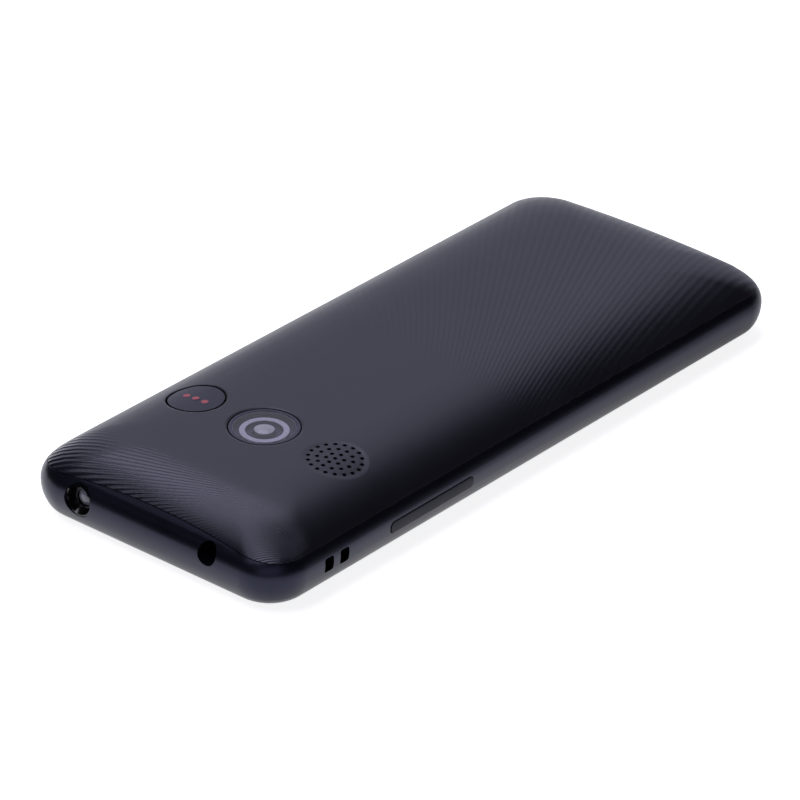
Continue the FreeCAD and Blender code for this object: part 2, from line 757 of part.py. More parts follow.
def keypad_mat():
    """Silicone sheet behind the keys, open round every stem, on feet that stand on the domes' sheet."""
    sheet = plate(0, keypad_y, keypad_width, keypad_length, mat_front, mat_front + mat_thickness)
    foot_x = keypad_width / 2 - 0.6 * mat_foot_side
    foot_reach = keypad_length / 2 - mat_foot_side
    feet = []
    for share in (-1, -0.34, 0.34, 1):
        for side in (-1, 1):
            feet.append(plate(side * foot_x, keypad_y + share * foot_reach, mat_foot_side, mat_foot_side,
                              mat_front, dome_base))
    sheet = fuse_all(sheet, feet)
    for x, y in dome_places():
        opening = key_stem_side + 2 * mat_stem_gap
        sheet = sheet.cut(plate(x, y, opening, opening, 0, board_front))
    return sheet


def dome_sheet():
    return plate(0, keypad_y, keypad_width, keypad_length, dome_base, board_front)


def key_domes():
    """One four-sided snap dome under every key."""
    domes = []
    for x, y in dome_places():
        foot = square(x, y, dome_side, dome_base)
        top = square(x, y, dome_top_side, dome_base - dome_height)
        domes.append(skin([top, foot]))
    return Part.makeCompound(domes)


# ---------------------------------------------------------------- heights that follow the rear cover
sos_flange_radius = sos_hole_radius + sos_flange_margin
sos_flange_back = crown_height(sos_x - sos_flange_radius, row_y, cover_wall) - deck_gap
sos_flange_front = sos_flange_back - sos_flange_height
sos_stem_end = sos_flange_front - sos_stem_length
tact_top = sos_stem_end - sos_key_travel - press_clearance
tact_floor = tact_top - tact_plunger_height - tact_height
grille_back = crown_height(speaker_x + speaker_radius, row_y, cover_wall)
speaker_top = grille_back - speaker_gasket_thickness - fit_gap
speaker_low = speaker_top - speaker_height
camera_flange_radius = camera_hole_radius + camera_flange_margin
camera_flange_back = crown_height(camera_flange_radius, row_y, cover_wall) - 2 * fit_gap
camera_flange_front = camera_flange_back - camera_flange_height
camera_rim_radius = camera_hole_radius - camera_bezel_gap
camera_rim = phone_thickness - camera_rim_sink
camera_floor = camera_rim - camera_window_sink - camera_window_thickness - camera_ring_thickness
camera_barrel_end = camera_floor - camera_bezel_rim - fit_gap
battery_back = crown_height(battery_width / 2, battery_top, cover_wall) - battery_cover_gap
screw_seat = chassis_front + screw_seat_thickness


# ---------------------------------------------------------------- board and what is on it
def side_key_room(margin, top):
    """Room at the side for the volume key, its switches and their support."""
    reach = rocker_length / 2 + rocker_flange_margin + margin
    return block(support_x - side_support_thickness - margin, half_width,
                 rocker_y - reach, rocker_y + reach, 0, top)


def torch_room(margin):
    end = top_y + torch_cup_depth
    half = torch_led_side / 2 + margin
    led = block(-torch_offset - half, -torch_offset + half, end - rest_gap, end + torch_led_depth + margin,
                torch_height - half, torch_height + half)
    return rod_along_y(-torch_offset, torch_height, torch_radius + margin, top_y, end + margin).fuse(led)


def main_board():
    board = prism(side_wall + board_margin, board_front, board_back, plain_outline)
    cuts = [lanyard_block(board_margin), jack_room(board_margin), torch_room(board_margin)]
    cuts.append(side_key_room(board_margin, phone_thickness))
    for x, y in screw_places():
        cuts.append(drum(x, y, screw_radius + fit_gap, 0, phone_thickness, screw_sides))
    for cut in cuts:
        board = board.cut(cut)
    return board


def shield_cans():
    """Screening cans on the back of the board, beside the camera."""
    offset = camera_base_side / 2 + can_gap + can_width / 2
    cans = []
    for side in (-1, 1):
        outer = plate(side * offset, row_y, can_width, can_length, board_back, board_back + can_height)
        inner = plate(side * offset, row_y, can_width - 2 * can_wall, can_length - 2 * can_wall,
                      0, board_back + can_height - can_wall)
        cans.append(outer.cut(inner))
    return Part.makeCompound(cans)


def usb_socket():
    """Folded steel shell with its contact tongue, standing on the board."""
    low = usb_front - usb_depth
    shell = usb_mouth(0.0, low, usb_front).cut(usb_mouth(-usb_shell, low + usb_shell, usb_front + 1))
    half = usb_width / 2 - usb_corner
    tongue = block(-half, half, low, usb_front - usb_set_back, usb_height - usb_tongue / 2,
                   usb_height + usb_tongue / 2)
    return shell.fuse(tongue).removeSplitter()


def headphone_jack():
    bore_end = jack_front + jack_bore_depth
    bore = rod_along_y(jack_offset, jack_height, jack_bore_radius, jack_front - 1, bore_end)
    return jack_envelope().cut(bore)


def torch_cup():
    """Dark funnel in the torch opening, bored for the lens."""
    front = top_y + torch_sink
    back = top_y + torch_cup_depth - rest_gap
    cup = rod_along_y(-torch_offset, torch_height, torch_radius - rest_gap, front, back)
    mouth = torch_radius - torch_cup_wall
    throat = torch_lens_radius + torch_cup_wall
    funnel = Part.makeCone(mouth, throat, torch_lens_depth,
                           Vector(-torch_offset, front - rest_gap, torch_height), Vector(0, 1, 0))
    bore = rod_along_y(-torch_offset, torch_height, torch_lens_radius + rest_gap, front, back + 1)
    return cup.common(outer_body).cut(funnel).cut(bore)


def torch_lens():
    """Clear stub with a domed end."""
    back = top_y + torch_cup_depth - rest_gap
    shoulder = back - torch_lens_depth / 2
    barrel = rod_along_y(-torch_offset, torch_height, torch_lens_radius, shoulder, back)
    ball = Part.makeSphere(torch_lens_ball, Vector(-torch_offset, shoulder, torch_height))
    ball.translate(Vector(0, math.sqrt(torch_lens_ball ** 2 - torch_lens_radius ** 2), 0))
    dome = ball.common(rod_along_y(-torch_offset, torch_height, torch_lens_radius,
                                   shoulder - torch_lens_depth, shoulder))
    return barrel.fuse(dome).removeSplitter()


def torch_led():
    front = top_y + torch_cup_depth
    half = torch_led_side / 2
    return block(-torch_offset - half, -torch_offset + half, front, front + torch_led_depth,
                 torch_height - half, torch_height + half)


def microphone():
    return plate(-microphone_offset, bottom_y - microphone_set_back, microphone_side, microphone_side,
                 board_back, board_back + microphone_height)


def vibration_motor():
    y = top_y + torch_cup_depth + torch_led_depth + motor_gap + motor_radius
    return disc(-torch_offset, y, motor_radius, board_back, board_back + motor_height)


def connector_block(margin, top):
    half = connector_width / 2 + margin
    high = battery_top - bay_clearance - bay_wall
    return block(-half, half, high - connector_depth - margin, high, board_back, top)


def battery_connector():
    """Block with three sprung blades that press on the battery's end."""
    top = board_back + connector_height
    body = connector_block(0.0, top)
    start = battery_top - bay_clearance - bay_wall - root
    blades = []
    for place in (-1, 0, 1):
        x = place * connector_pitch
        blades.append(block(x - blade_width / 2, x + blade_width / 2, start, battery_top - rest_gap,
                            board_back + blade_low, top - blade_low))
    return fuse_all(body, blades)


def card_socket(x, width):
    """Pressed card holder, open towards the bottom end, with a window over the contacts."""
    length = card_zone - 2 * card_socket_gap
    y = battery_bottom + card_zone / 2
    high = board_back + card_socket_height
    holder = plate(x, y, width, length, board_back, high)
    space = plate(x, y + card_socket_wall, width - 2 * card_socket_wall, length,
                  board_back + card_socket_wall, high - card_socket_wall)
    window = plate(x, y, width - 2 * card_socket_lip, length - 2 * card_socket_lip,
                   high - card_socket_wall, high + 1)
    return holder.cut(space).cut(window)


def sim_socket():
    return card_socket(-sim_socket_width / 2 - card_socket_gap / 2, sim_socket_width)


def memory_card_socket():
    return card_socket(memory_socket_width / 2 + card_socket_gap / 2, memory_socket_width)


def antenna_carrier():
    """Plastic block at the bottom end that carries the antenna, open round the charging socket."""
    low = board_back + rest_gap
    start = antenna_top + 2 * antenna_gap
    half = battery_width / 2
    carrier = block(-half, half, start, start + antenna_length, low, low + antenna_height)
    reach = usb_width / 2 + antenna_gap
    room_start = usb_front - usb_depth - antenna_gap
    socket_room = block(-reach, reach, room_start, bottom_y, 0, phone_thickness)
    microphone_room = block(-microphone_offset - microphone_side, -reach, room_start, bottom_y,
                            0, phone_thickness)
    return carrier.cut(socket_room.fuse(microphone_room))


# ---------------------------------------------------------------- chassis and what sits in it
def bay_block(margin, z_low):
    return block(-battery_width / 2 - margin, battery_width / 2 + margin,
                 battery_top - margin, battery_bottom + margin, z_low, phone_thickness)


def clip_places():
    reach = half_length - corner_radius - clip_length
    return [(side, share * reach) for share in (-1, -0.35, 0.35, 1) for side in (-1, 1)]


def clip(side, y, margin=0.0):
    outer = half_width - rim_inset - side_wall - clip_gap + margin
    inner = outer - clip_thickness - 2 * margin
    low, high = sorted((side * inner, side * outer))
    return block(low, high, y - clip_length / 2 - margin, y + clip_length / 2 + margin,
                 rim_height - clip_depth - margin, rim_height + cover_wall)


def chassis_shell():
    """Deck that follows the cover, with a wall down to the board all round."""
    whole = under_crown(cover_wall + deck_gap, chassis_front, deck_steps)
    return whole, whole.cut(under_crown(cover_wall + deck_gap + deck_wall, 0.0, deck_steps))


def chassis_wells():
    """Solid blocks under the deck: tray, wells and screw posts, before they are hollowed."""
    well_side = camera_base_side + 4 * fit_gap + 2 * collar_wall
    top = phone_thickness
    wells = [
        bay_block(bay_clearance + bay_wall, chassis_front),
        disc(sos_x, row_y, sos_flange_radius + deck_gap + collar_wall, tact_floor - collar_wall, top),
        disc(speaker_x, row_y, speaker_radius + fit_gap + collar_wall, speaker_low - speaker_floor, top),
        plate(0, row_y, well_side, well_side, board_back + can_height + fit_gap, top),
        disc(0, row_y, camera_flange_radius + fit_gap + collar_wall, camera_flange_front - collar_wall, top),
    ]
    post_radius = screw_head_radius + deck_gap + post_wall
    posts = [drum(x, y, post_radius, chassis_front, top, screw_sides) for x, y in screw_places()]
    return wells + posts


def chassis_cuts():
    """Everything that is taken out of the chassis."""
    well_side = camera_base_side + 4 * fit_gap
    card_y = battery_bottom + card_zone / 2
    side_top = rocker_middle + rocker_height / 2 + rocker_flange_margin + rocker_play
    blades_y = battery_top - bay_clearance - bay_wall / 2
    cuts = [
        bay_block(bay_clearance, chassis_front + bay_floor),
        disc(sos_x, row_y, sos_flange_radius + deck_gap, tact_floor, phone_thickness),
        disc(speaker_x, row_y, speaker_radius + fit_gap, speaker_low, phone_thickness),
        plate(0, row_y, well_side, well_side, 0, phone_thickness),
        disc(0, row_y, camera_flange_radius + fit_gap, camera_flange_front, phone_thickness),
        lanyard_block(2 * fit_gap), jack_room(2 * fit_gap), torch_room(board_margin),
        side_key_room(board_margin, side_top),
        plate(0, card_y, battery_width, card_zone - card_socket_gap, 0, phone_thickness),
        connector_block(2 * fit_gap, board_back + connector_height + 2 * fit_gap),
        plate(0, blades_y, 2 * connector_pitch + 2 * blade_width, 2 * bay_wall,
              board_back, board_back + connector_height),
        usb_mouth(usb_margin, usb_front - usb_depth - fit_gap, bottom_y),
        rod_along_y(-microphone_offset, widest_height, microphone_hole_radius,
                    bottom_y - microphone_set_back, bottom_y),
    ]
    for x, y in screw_places():
        cuts.append(drum(x, y, screw_head_radius + deck_gap, screw_seat, phone_thickness, screw_sides))
        cuts.append(drum(x, y, screw_radius + fit_gap, 0, phone_thickness, screw_sides))
    return cuts + [clip(side, y, 2 * fit_gap) for side, y in clip_places()]


def inner_chassis():
    """Moulded inner frame: deck under the cover, battery tray, wells for camera, speaker and switch."""
    whole, frame = chassis_shell()
    frame = fuse_all(frame, [well.common(whole) for well in chassis_wells()])
    for cut in chassis_cuts():
        frame = frame.cut(cut)
    return frame


def chassis_screws():
    """Screws that hold the chassis and the board to the front housing."""
    screws = []
    top = screw_seat + screw_head_height
    for x, y in screw_places():
        shank = drum(x, y, screw_radius, board_front - screw_depth, top, screw_sides)
        screws.append(fuse_all(shank, [drum(x, y, screw_head_radius, screw_seat, top, screw_sides)]))
    return Part.makeCompound(screws)


def battery():
    length = battery_bottom - battery_top
    return rounded_plate(0, (battery_top + battery_bottom) / 2, battery_width, length, battery_corner,
                         battery_front, battery_back)


def loudspeaker():
    """Round speaker with a raised edge and a cone inside it."""
    can = disc(speaker_x, row_y, speaker_radius, speaker_low, speaker_top)
    mouth = disc(speaker_x, row_y, speaker_radius - speaker_edge, speaker_top - speaker_recess,
                 phone_thickness)
    cone = Part.makeCone(speaker_coil_radius, speaker_radius - 2 * speaker_edge, speaker_recess,
                         Vector(speaker_x, row_y, speaker_top - 2 * speaker_recess))
    return can.cut(mouth).cut(cone)


def speaker_gasket():
    return ring(speaker_x, row_y, speaker_radius - speaker_edge, speaker_radius,
                speaker_top, speaker_top + speaker_gasket_thickness)


def camera_module():
    base = plate(0, row_y, camera_base_side, camera_base_side, board_back + rest_gap,
                 board_back + camera_base_height)
    barrel = disc(0, row_y, camera_barrel_radius, board_back + camera_base_height / 2, camera_barrel_end)
    return fuse_all(base, [barrel])


def camera_lens():
    """Small glass dome on the camera's barrel."""
    top = camera_barrel_end + camera_lens_height
    dome = camera_lens_height / 2
    ball_radius = (camera_lens_radius ** 2 + dome ** 2) / (2 * dome)
    ball = Part.makeSphere(ball_radius, Vector(0, row_y, top - ball_radius))
    return disc(0, row_y, camera_lens_radius, camera_barrel_end, top).common(ball)


def camera_bezel():
    """Cup in the cover's round opening, flanged under the cover."""
    flange = disc(0, row_y, camera_flange_radius, camera_flange_front, camera_flange_back)
    collar = disc(0, row_y, camera_rim_radius, camera_flange_front, camera_rim)
    recess = disc(0, row_y, camera_rim_radius - camera_bezel_rim, camera_floor, phone_thickness)
    bore = disc(0, row_y, camera_barrel_radius + camera_bezel_gap, 0, camera_floor - camera_bezel_rim)
    sight = disc(0, row_y, camera_lens_radius + camera_bezel_gap, 0, phone_thickness)
    return fuse_all(flange, [collar]).cut(recess).cut(bore).cut(sight)


def camera_ring():
    return ring(0, row_y, camera_ring_inner, camera_ring_outer,
                camera_floor, camera_floor + camera_ring_thickness)


def camera_window():
    radius = camera_rim_radius - camera_bezel_rim - rest_gap
    top = camera_rim - camera_window_sink
    pane = disc(0, row_y, radius, top - camera_window_thickness + rest_gap, top)
    return chamfered(pane, top, camera_window_sink)


def sos_key():
    """Alarm key: its face follows the cover, its flange lies under the cover."""
    cap = disc(sos_x, row_y, sos_key_radius, sos_flange_front, phone_thickness)
    cap = cap.common(under_crown(sos_key_sink, 0.0, crown_steps))
    flange = disc(sos_x, row_y, sos_flange_radius, sos_flange_front, sos_flange_back)
    stem = disc(sos_x, row_y, sos_stem_radius, sos_stem_end, sos_flange_back)
    return fuse_all(cap, [flange, stem])


def sos_switch():
    body = plate(sos_x, row_y, tact_side, tact_side, tact_floor, tact_floor + tact_height)
    return body.fuse(disc(sos_x, row_y, tact_plunger_radius, tact_floor, tact_top)).removeSplitter()


# ---------------------------------------------------------------- volume key
def volume_rocker():
    """Bar in the side slot, flange behind the wall and two nubs that reach the switches."""
    bar = rocker_bar(0.0, rocker_front, half_width + 1).common(tub(-rocker_proud))
    margin = rocker_flange_margin
    flange = block(rocker_front, rocker_back, rocker_y - rocker_length / 2 - margin,
                   rocker_y + rocker_length / 2 + margin, rocker_middle - rocker_height / 2 - margin,
                   rocker_middle + rocker_height / 2 + margin)
    half = rocker_nub_width / 2
    nubs = [block(rocker_front - rocker_nub_height, rocker_back, y - half, y + half,
                  rocker_middle - half, rocker_middle + half)
            for y in (rocker_y - rocker_nub_reach, rocker_y + rocker_nub_reach)]
    return fuse_all(bar, [flange] + nubs)


def side_key_flex():
    reach = rocker_nub_reach + side_switch_size / 2
    return block(support_x, support_x + side_flex_thickness, rocker_y - reach, rocker_y + reach,
                 rocker_middle - side_switch_size / 2, rocker_middle + side_switch_size / 2)


def side_key_switches():
    """A small push switch at each end of the volume key."""
    low = support_x + side_flex_thickness
    half = side_switch_size / 2
    pin = rocker_nub_width / 2
    switches = []
    for y in (rocker_y - rocker_nub_reach, rocker_y + rocker_nub_reach):
        body = block(low, low + side_switch_body, y - half, y + half,
                     rocker_middle - half, rocker_middle + half)
        plunger = block(low, low + side_switch_depth, y - pin, y + pin,
                        rocker_middle - pin, rocker_middle + pin)
        switches.append(fuse_all(body, [plunger]))
    return Part.makeCompound(switches)


# ---------------------------------------------------------------- rear cover
def grille_spots():
    """Middles of the sound holes: rings round one hole, each with six more than the ring inside it."""
    spots = [(speaker_x, row_y)]
    for count in range(1, grille_rings + 1):
        for index in range(6 * count):
            angle = math.pi * (2 * index + count % 2) / (6 * count)
            spots.append((speaker_x + count * grille_ring_pitch * math.cos(angle),
                          row_y + count * grille_ring_pitch * math.sin(angle)))
    return spots


def rear_cover():
    """Crowned shell with its clips, a flat pad behind the grille and the round openings."""
    shell = outer_body.common(above_seam(seam_gap / 2)).cut(under_crown(cover_wall, 0.0, hidden_steps))
    above = phone_thickness + 1
    pad = disc(speaker_x, row_y, speaker_radius, grille_back, above).common(outer_body)
    shell = fuse_all(shell, [pad] + [clip(side, y) for side, y in clip_places()])
    cuts = [disc(sos_x, row_y, sos_hole_radius, 0, above), disc(0, row_y, camera_hole_radius, 0, above)]
    cuts.append(Part.makeCompound([drum(x, y, grille_hole_radius, rim_height, above, grille_hole_sides)
                                   for x, y in grille_spots()]))
    for cut in cuts:
        shell = shell.cut(cut)
    return shell


def speaker_gauze():
    """Dust cloth glued behind the grille, inside the speaker's gasket."""
    back = grille_back - rest_gap
    return disc(speaker_x, row_y, speaker_radius - speaker_edge - rest_gap, back - gauze_thickness, back)


# ---------------------------------------------------------------- build
outer_body = fuse_all(tub(0.0), [skin(crown_outlines(0.0, crown_steps, outline))])

makers = [front_housing, display_window, earpiece_gauze, earpiece_receiver, display_panel, display_tray,
          nav_ring, ok_key, keypad_mat, dome_sheet, key_domes, main_board, shield_cans, usb_socket,
          headphone_jack, torch_cup, torch_lens, torch_led, microphone, vibration_motor, battery_connector,
          sim_socket, memory_card_socket, antenna_carrier, inner_chassis, chassis_screws, battery,
          loudspeaker, speaker_gasket, camera_module, camera_lens, camera_bezel, camera_ring, camera_window,
          sos_key, sos_switch, volume_rocker, side_key_flex, side_key_switches, rear_cover, speaker_gauze]

parts = {maker.__name__: maker() for maker in makers}
for name, x, y, width, length in front_keys():
    parts[name] = front_key(x, y, width, length)

os.makedirs("parts", exist_ok=True)
for name, shape in parts.items():
    shape.exportStep(os.path.join("parts", name + ".step"))
    print(name, len(shape.Solids), round(shape.Volume, 1))
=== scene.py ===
import json
import math

import bmesh
import bpy
from mathutils import Matrix, Quaternion, Vector
from mathutils.bvhtree import BVHTree


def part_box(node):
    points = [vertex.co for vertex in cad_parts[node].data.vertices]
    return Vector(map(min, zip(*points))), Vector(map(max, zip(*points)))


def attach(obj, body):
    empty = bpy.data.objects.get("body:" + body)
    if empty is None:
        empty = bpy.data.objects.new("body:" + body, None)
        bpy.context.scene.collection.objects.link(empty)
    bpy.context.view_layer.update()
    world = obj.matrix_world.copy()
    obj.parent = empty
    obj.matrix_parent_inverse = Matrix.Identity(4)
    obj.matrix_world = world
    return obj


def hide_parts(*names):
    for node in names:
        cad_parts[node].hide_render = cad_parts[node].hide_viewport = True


# Keypad telephone lying on its front: looks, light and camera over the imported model
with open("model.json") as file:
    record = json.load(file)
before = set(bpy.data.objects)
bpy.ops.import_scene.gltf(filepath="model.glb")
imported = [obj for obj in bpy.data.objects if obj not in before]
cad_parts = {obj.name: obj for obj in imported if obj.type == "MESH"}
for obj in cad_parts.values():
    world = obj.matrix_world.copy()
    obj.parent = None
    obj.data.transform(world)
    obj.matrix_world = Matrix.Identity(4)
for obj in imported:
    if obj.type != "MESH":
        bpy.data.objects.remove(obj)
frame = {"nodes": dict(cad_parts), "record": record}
nodes = frame["nodes"]
mm = 0.001
print("frame loaded:", len(nodes), "nodes")
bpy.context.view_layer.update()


# ---- small helpers
def toLinear(hexColour):
    # sRGB hex to the linear RGBA that Blender works in
    channels = [int(hexColour[i:i + 2], 16) / 255 for i in (1, 3, 5)]
    return tuple(c / 12.92 if c <= 0.04045 else ((c + 0.055) / 1.055) ** 2.4 for c in channels) + (1.0,)


def addNode(tree, kind, inputs=None, **settings):
    # one node with its settings; an input is a value or the socket that feeds it
    node = tree.nodes.new(kind)
    for name, value in settings.items():
        setattr(node, name, value)
    for key, value in (inputs or {}).items():
        if isinstance(value, bpy.types.NodeSocket):
            tree.links.new(value, node.inputs[key])
        else:
            node.inputs[key].default_value = value
    return node


def newMaterial(name):
    material = bpy.data.materials.new(name)
    material.use_nodes = True
    tree = material.node_tree
    tree.nodes.clear()
    return material, tree


def finishMaterial(tree, shader):
    addNode(tree, "ShaderNodeOutputMaterial", {"Surface": shader.outputs[0]})


def objectPoint(tree, centre=(0, 0, 0), scale=(1, 1, 1), turn=(0, 0, 0)):
    # object coordinates, measured from a place on the piece
    coordinates = addNode(tree, "ShaderNodeTexCoord")
    moved = addNode(tree, "ShaderNodeVectorMath", {0: coordinates.outputs["Object"], 1: centre},
                    operation="SUBTRACT")
    return addNode(tree, "ShaderNodeMapping", {"Vector": moved.outputs[0], "Scale": scale, "Rotation": turn},
                   vector_type="POINT").outputs[0]


def perMetre(sizeMm):
    # noise scale for a feature of that size
    return 1 / (sizeMm * mm)


# ---- plastics, made in a mould
patchSpan = (0.3, 0.7)     # part of the noise that the roughness follows


def mouldedPlastic(name, look):
    # ABS or PC/ABS from a spark-eroded mould: the fine pitting breaks the gloss up
    material, tree = newMaterial(name)
    point = objectPoint(tree)
    grain = addNode(tree, "ShaderNodeTexNoise", {"Vector": point, "Scale": perMetre(look["grainMm"]),
                                                 "Detail": 3.0, "Roughness": 0.6})
    handled = addNode(tree, "ShaderNodeTexNoise", {"Vector": point, "Scale": perMetre(look["patchMm"]),
                                                   "Detail": 4.0, "Roughness": 0.55})
    colour = addNode(tree, "ShaderNodeMix", {"Factor": handled.outputs["Fac"], "A": toLinear(look["dark"]),
                                             "B": toLinear(look["light"])}, data_type="RGBA")
    rough = addNode(tree, "ShaderNodeMapRange", {"Value": handled.outputs["Fac"], "From Min": patchSpan[0],
                                                 "From Max": patchSpan[1],
                                                 "To Min": look["rough"][0], "To Max": look["rough"][1]})
    bump = addNode(tree, "ShaderNodeBump", {"Height": grain.outputs["Fac"],
                                            "Strength": look["grainStrength"],
                                            "Distance": look["grainDepthMm"] * mm})
    shader = addNode(tree, "ShaderNodeBsdfPrincipled", {
        "Base Color": colour.outputs["Result"], "Roughness": rough.outputs[0], "Normal": bump.outputs[0],
        "IOR": look["ior"], "Specular IOR Level": look["specular"], "Specular Tint": toLinear(look["tint"])})
    finishMaterial(tree, shader)
    return material


housingLook = {"dark": "#07070c", "light": "#0a0a11", "rough": (0.29, 0.33), "grainMm": 0.18, "patchMm": 9.0,
               "grainStrength": 0.25, "grainDepthMm": 0.02, "ior": 1.5, "specular": 0.5, "tint": "#ced2ff"}
satinHousing = mouldedPlastic("satinBlackPcAbs", housingLook)
chassisLook = dict(housingLook, dark="#26262a", light="#2f2f34", rough=(0.5, 0.62), grainMm=0.3,
                   grainStrength=0.5, tint="#ffffff")
erodedChassis = mouldedPlastic("blackGlassFilledChassis", chassisLook)
componentLook = dict(chassisLook, dark="#1b1b1d", light="#242427", rough=(0.38, 0.5), patchMm=3.0)
componentPlastic = mouldedPlastic("blackLcpComponent", componentLook)
keyLook = dict(housingLook, dark="#17171b", light="#1e1e24", rough=(0.34, 0.42), patchMm=5.0)
keyPlastic = mouldedPlastic("satinKeyCap", keyLook)
sideKeyLook = dict(housingLook, dark="#050508", light="#08080d", rough=(0.42, 0.5), specular=0.22,
                   patchMm=6.0)
sideKeyPlastic = mouldedPlastic("satinSideKey", sideKeyLook)
alarmKeyLook = dict(housingLook, dark="#0e0e13", light="#121218", rough=(0.36, 0.4), patchMm=4.0)
alarmKeyPlastic = mouldedPlastic("satinAlarmKey", alarmKeyLook)
bezelLook = dict(housingLook, dark="#2d2b38", light="#34323f", rough=(0.3, 0.34), patchMm=4.0)
bezelPlastic = mouldedPlastic("satinCameraBezel", bezelLook)
recessLook = dict(housingLook, dark="#050506", light="#08080a", rough=(0.1, 0.18), grainStrength=0.08,
                  patchMm=2.0, tint="#ffffff")
recessPlastic = mouldedPlastic("polishedTorchRecess", recessLook)
socketLook = dict(componentLook, dark="#0a0a0a", light="#101010", rough=(0.3, 0.4))
socketPlastic = mouldedPlastic("blackSocketNylon", socketLook)
siliconeLook = dict(componentLook, dark="#8a8a8c", light="#96969a", rough=(0.6, 0.72), patchMm=6.0)
matSilicone = mouldedPlastic("greySiliconeMat", siliconeLook)
foamLook = dict(componentLook, dark="#111112", light="#1a1a1b", rough=(0.8, 0.92), grainMm=0.25,
                grainStrength=0.9, grainDepthMm=0.08)
gasketFoam = mouldedPlastic("closedCellFoam", foamLook)

coverLook = {"dark": "#0b0b11", "light": "#0f0f17", "rough": (0.37, 0.41), "tint": "#e4e4ff", "ior": 1.5,
             "specular": 0.6, "sheen": 0.06, "sheenRough": 0.4, "patchMm": 11.0, "grainMm": 0.2,
             "grainStrength": 0.2, "grainDepthMm": 0.02, "fanXMm": 38.0, "fanYMm": -41.0, "swayMm": 7.0,
             "swayAtMm": -15.0, "swayOverMm": 30.0, "lineTurnDeg": 0.85, "lineDepthMm": 0.03,
             "plainDepth": 0.1, "endDepth": 2.1, "plainFromMm": -56.0, "plainToMm": -8.0, "fadeMm": 14.0,
             "dishXMm": 14.9, "dishYMm": -37.7, "dishRadiusMm": 5.2, "dishEdgeMm": 0.9, "dishDepthMm": 0.14,
             "rimWidthMm": 0.4, "rimDepthMm": 0.14, "endPolish": 0.14}
roundOpenings = {"sos_key": 4.95, "camera_bezel": 6.05}


def endShare(tree, axes, look):
    # 1 at the top end, 0 on the plain middle
    start = (look["plainFromMm"] + look["fadeMm"] / 4) * mm
    end = (look["plainFromMm"] - look["fadeMm"] / 4) * mm
    return addNode(tree, "ShaderNodeMapRange", {"Value": axes.outputs[1], "From Min": start,
                                                "From Max": end}, interpolation_type="SMOOTHSTEP").outputs[0]


def riseRound(tree, axes, x, y, start, end):
    # height that rises smoothly between two distances from a place on the back
    besideX = addNode(tree, "ShaderNodeMath", {0: axes.outputs[0], 1: x}, operation="SUBTRACT")
    besideY = addNode(tree, "ShaderNodeMath", {0: axes.outputs[1], 1: y}, operation="SUBTRACT")
    beside = addNode(tree, "ShaderNodeCombineXYZ", {0: besideX.outputs[0], 1: besideY.outputs[0]})
    away = addNode(tree, "ShaderNodeVectorMath", {0: beside.outputs[0]}, operation="LENGTH")
    return addNode(tree, "ShaderNodeMapRange", {"Value": away.outputs["Value"], "From Min": start,
                                                "From Max": end}, interpolation_type="SMOOTHSTEP").outputs[0]


def ribHeight(tree, axes, look):
    # fine lines that fan out from beside the top end and sway a little on their way to the bottom end
    along = addNode(tree, "ShaderNodeMath", {0: axes.outputs[1], 1: look["swayAtMm"] * mm},
                    operation="SUBTRACT")
    along = addNode(tree, "ShaderNodeMath", {0: along.outputs[0], 1: look["swayOverMm"] * mm},
                    operation="DIVIDE")
    sway = addNode(tree, "ShaderNodeMath", {0: along.outputs[0]}, operation="TANH")
    swayed = addNode(tree, "ShaderNodeMath", {0: sway.outputs[0], 1: -look["swayMm"] * mm,
                                              2: axes.outputs[1]}, operation="MULTIPLY_ADD")
    reach = addNode(tree, "ShaderNodeMath", {0: swayed.outputs[0], 1: look["fanYMm"] * mm},
                    operation="SUBTRACT")
    across = addNode(tree, "ShaderNodeMath", {0: look["fanXMm"] * mm, 1: axes.outputs[0]},
                     operation="SUBTRACT")
    turn = addNode(tree, "ShaderNodeMath", {0: across.outputs[0], 1: reach.outputs[0]}, operation="ARCTAN2")
    phase = addNode(tree, "ShaderNodeMath", {0: turn.outputs[0], 1: 360 / look["lineTurnDeg"]},
                    operation="MULTIPLY")
    wave = addNode(tree, "ShaderNodeMath", {0: phase.outputs[0]}, operation="SINE")
    # the lines are cut shallower over the middle of the back
    far = addNode(tree, "ShaderNodeMapRange", {
        "Value": axes.outputs[1], "From Min": look["plainToMm"] * mm,
        "From Max": (look["plainToMm"] + look["fadeMm"]) * mm}, interpolation_type="SMOOTHSTEP").outputs[0]
    near = endShare(tree, axes, look)
    near = addNode(tree, "ShaderNodeMath", {0: near, 1: look["endDepth"]}, operation="MULTIPLY").outputs[0]
    cut = addNode(tree, "ShaderNodeMath", {0: far, 1: near}, operation="MAXIMUM")
    cut = addNode(tree, "ShaderNodeMath", {0: cut.outputs[0], 1: look["plainDepth"]}, operation="MAXIMUM")
    return addNode(tree, "ShaderNodeMath", {0: wave.outputs[0], 1: cut.outputs[0]},
                   operation="MULTIPLY").outputs[0]


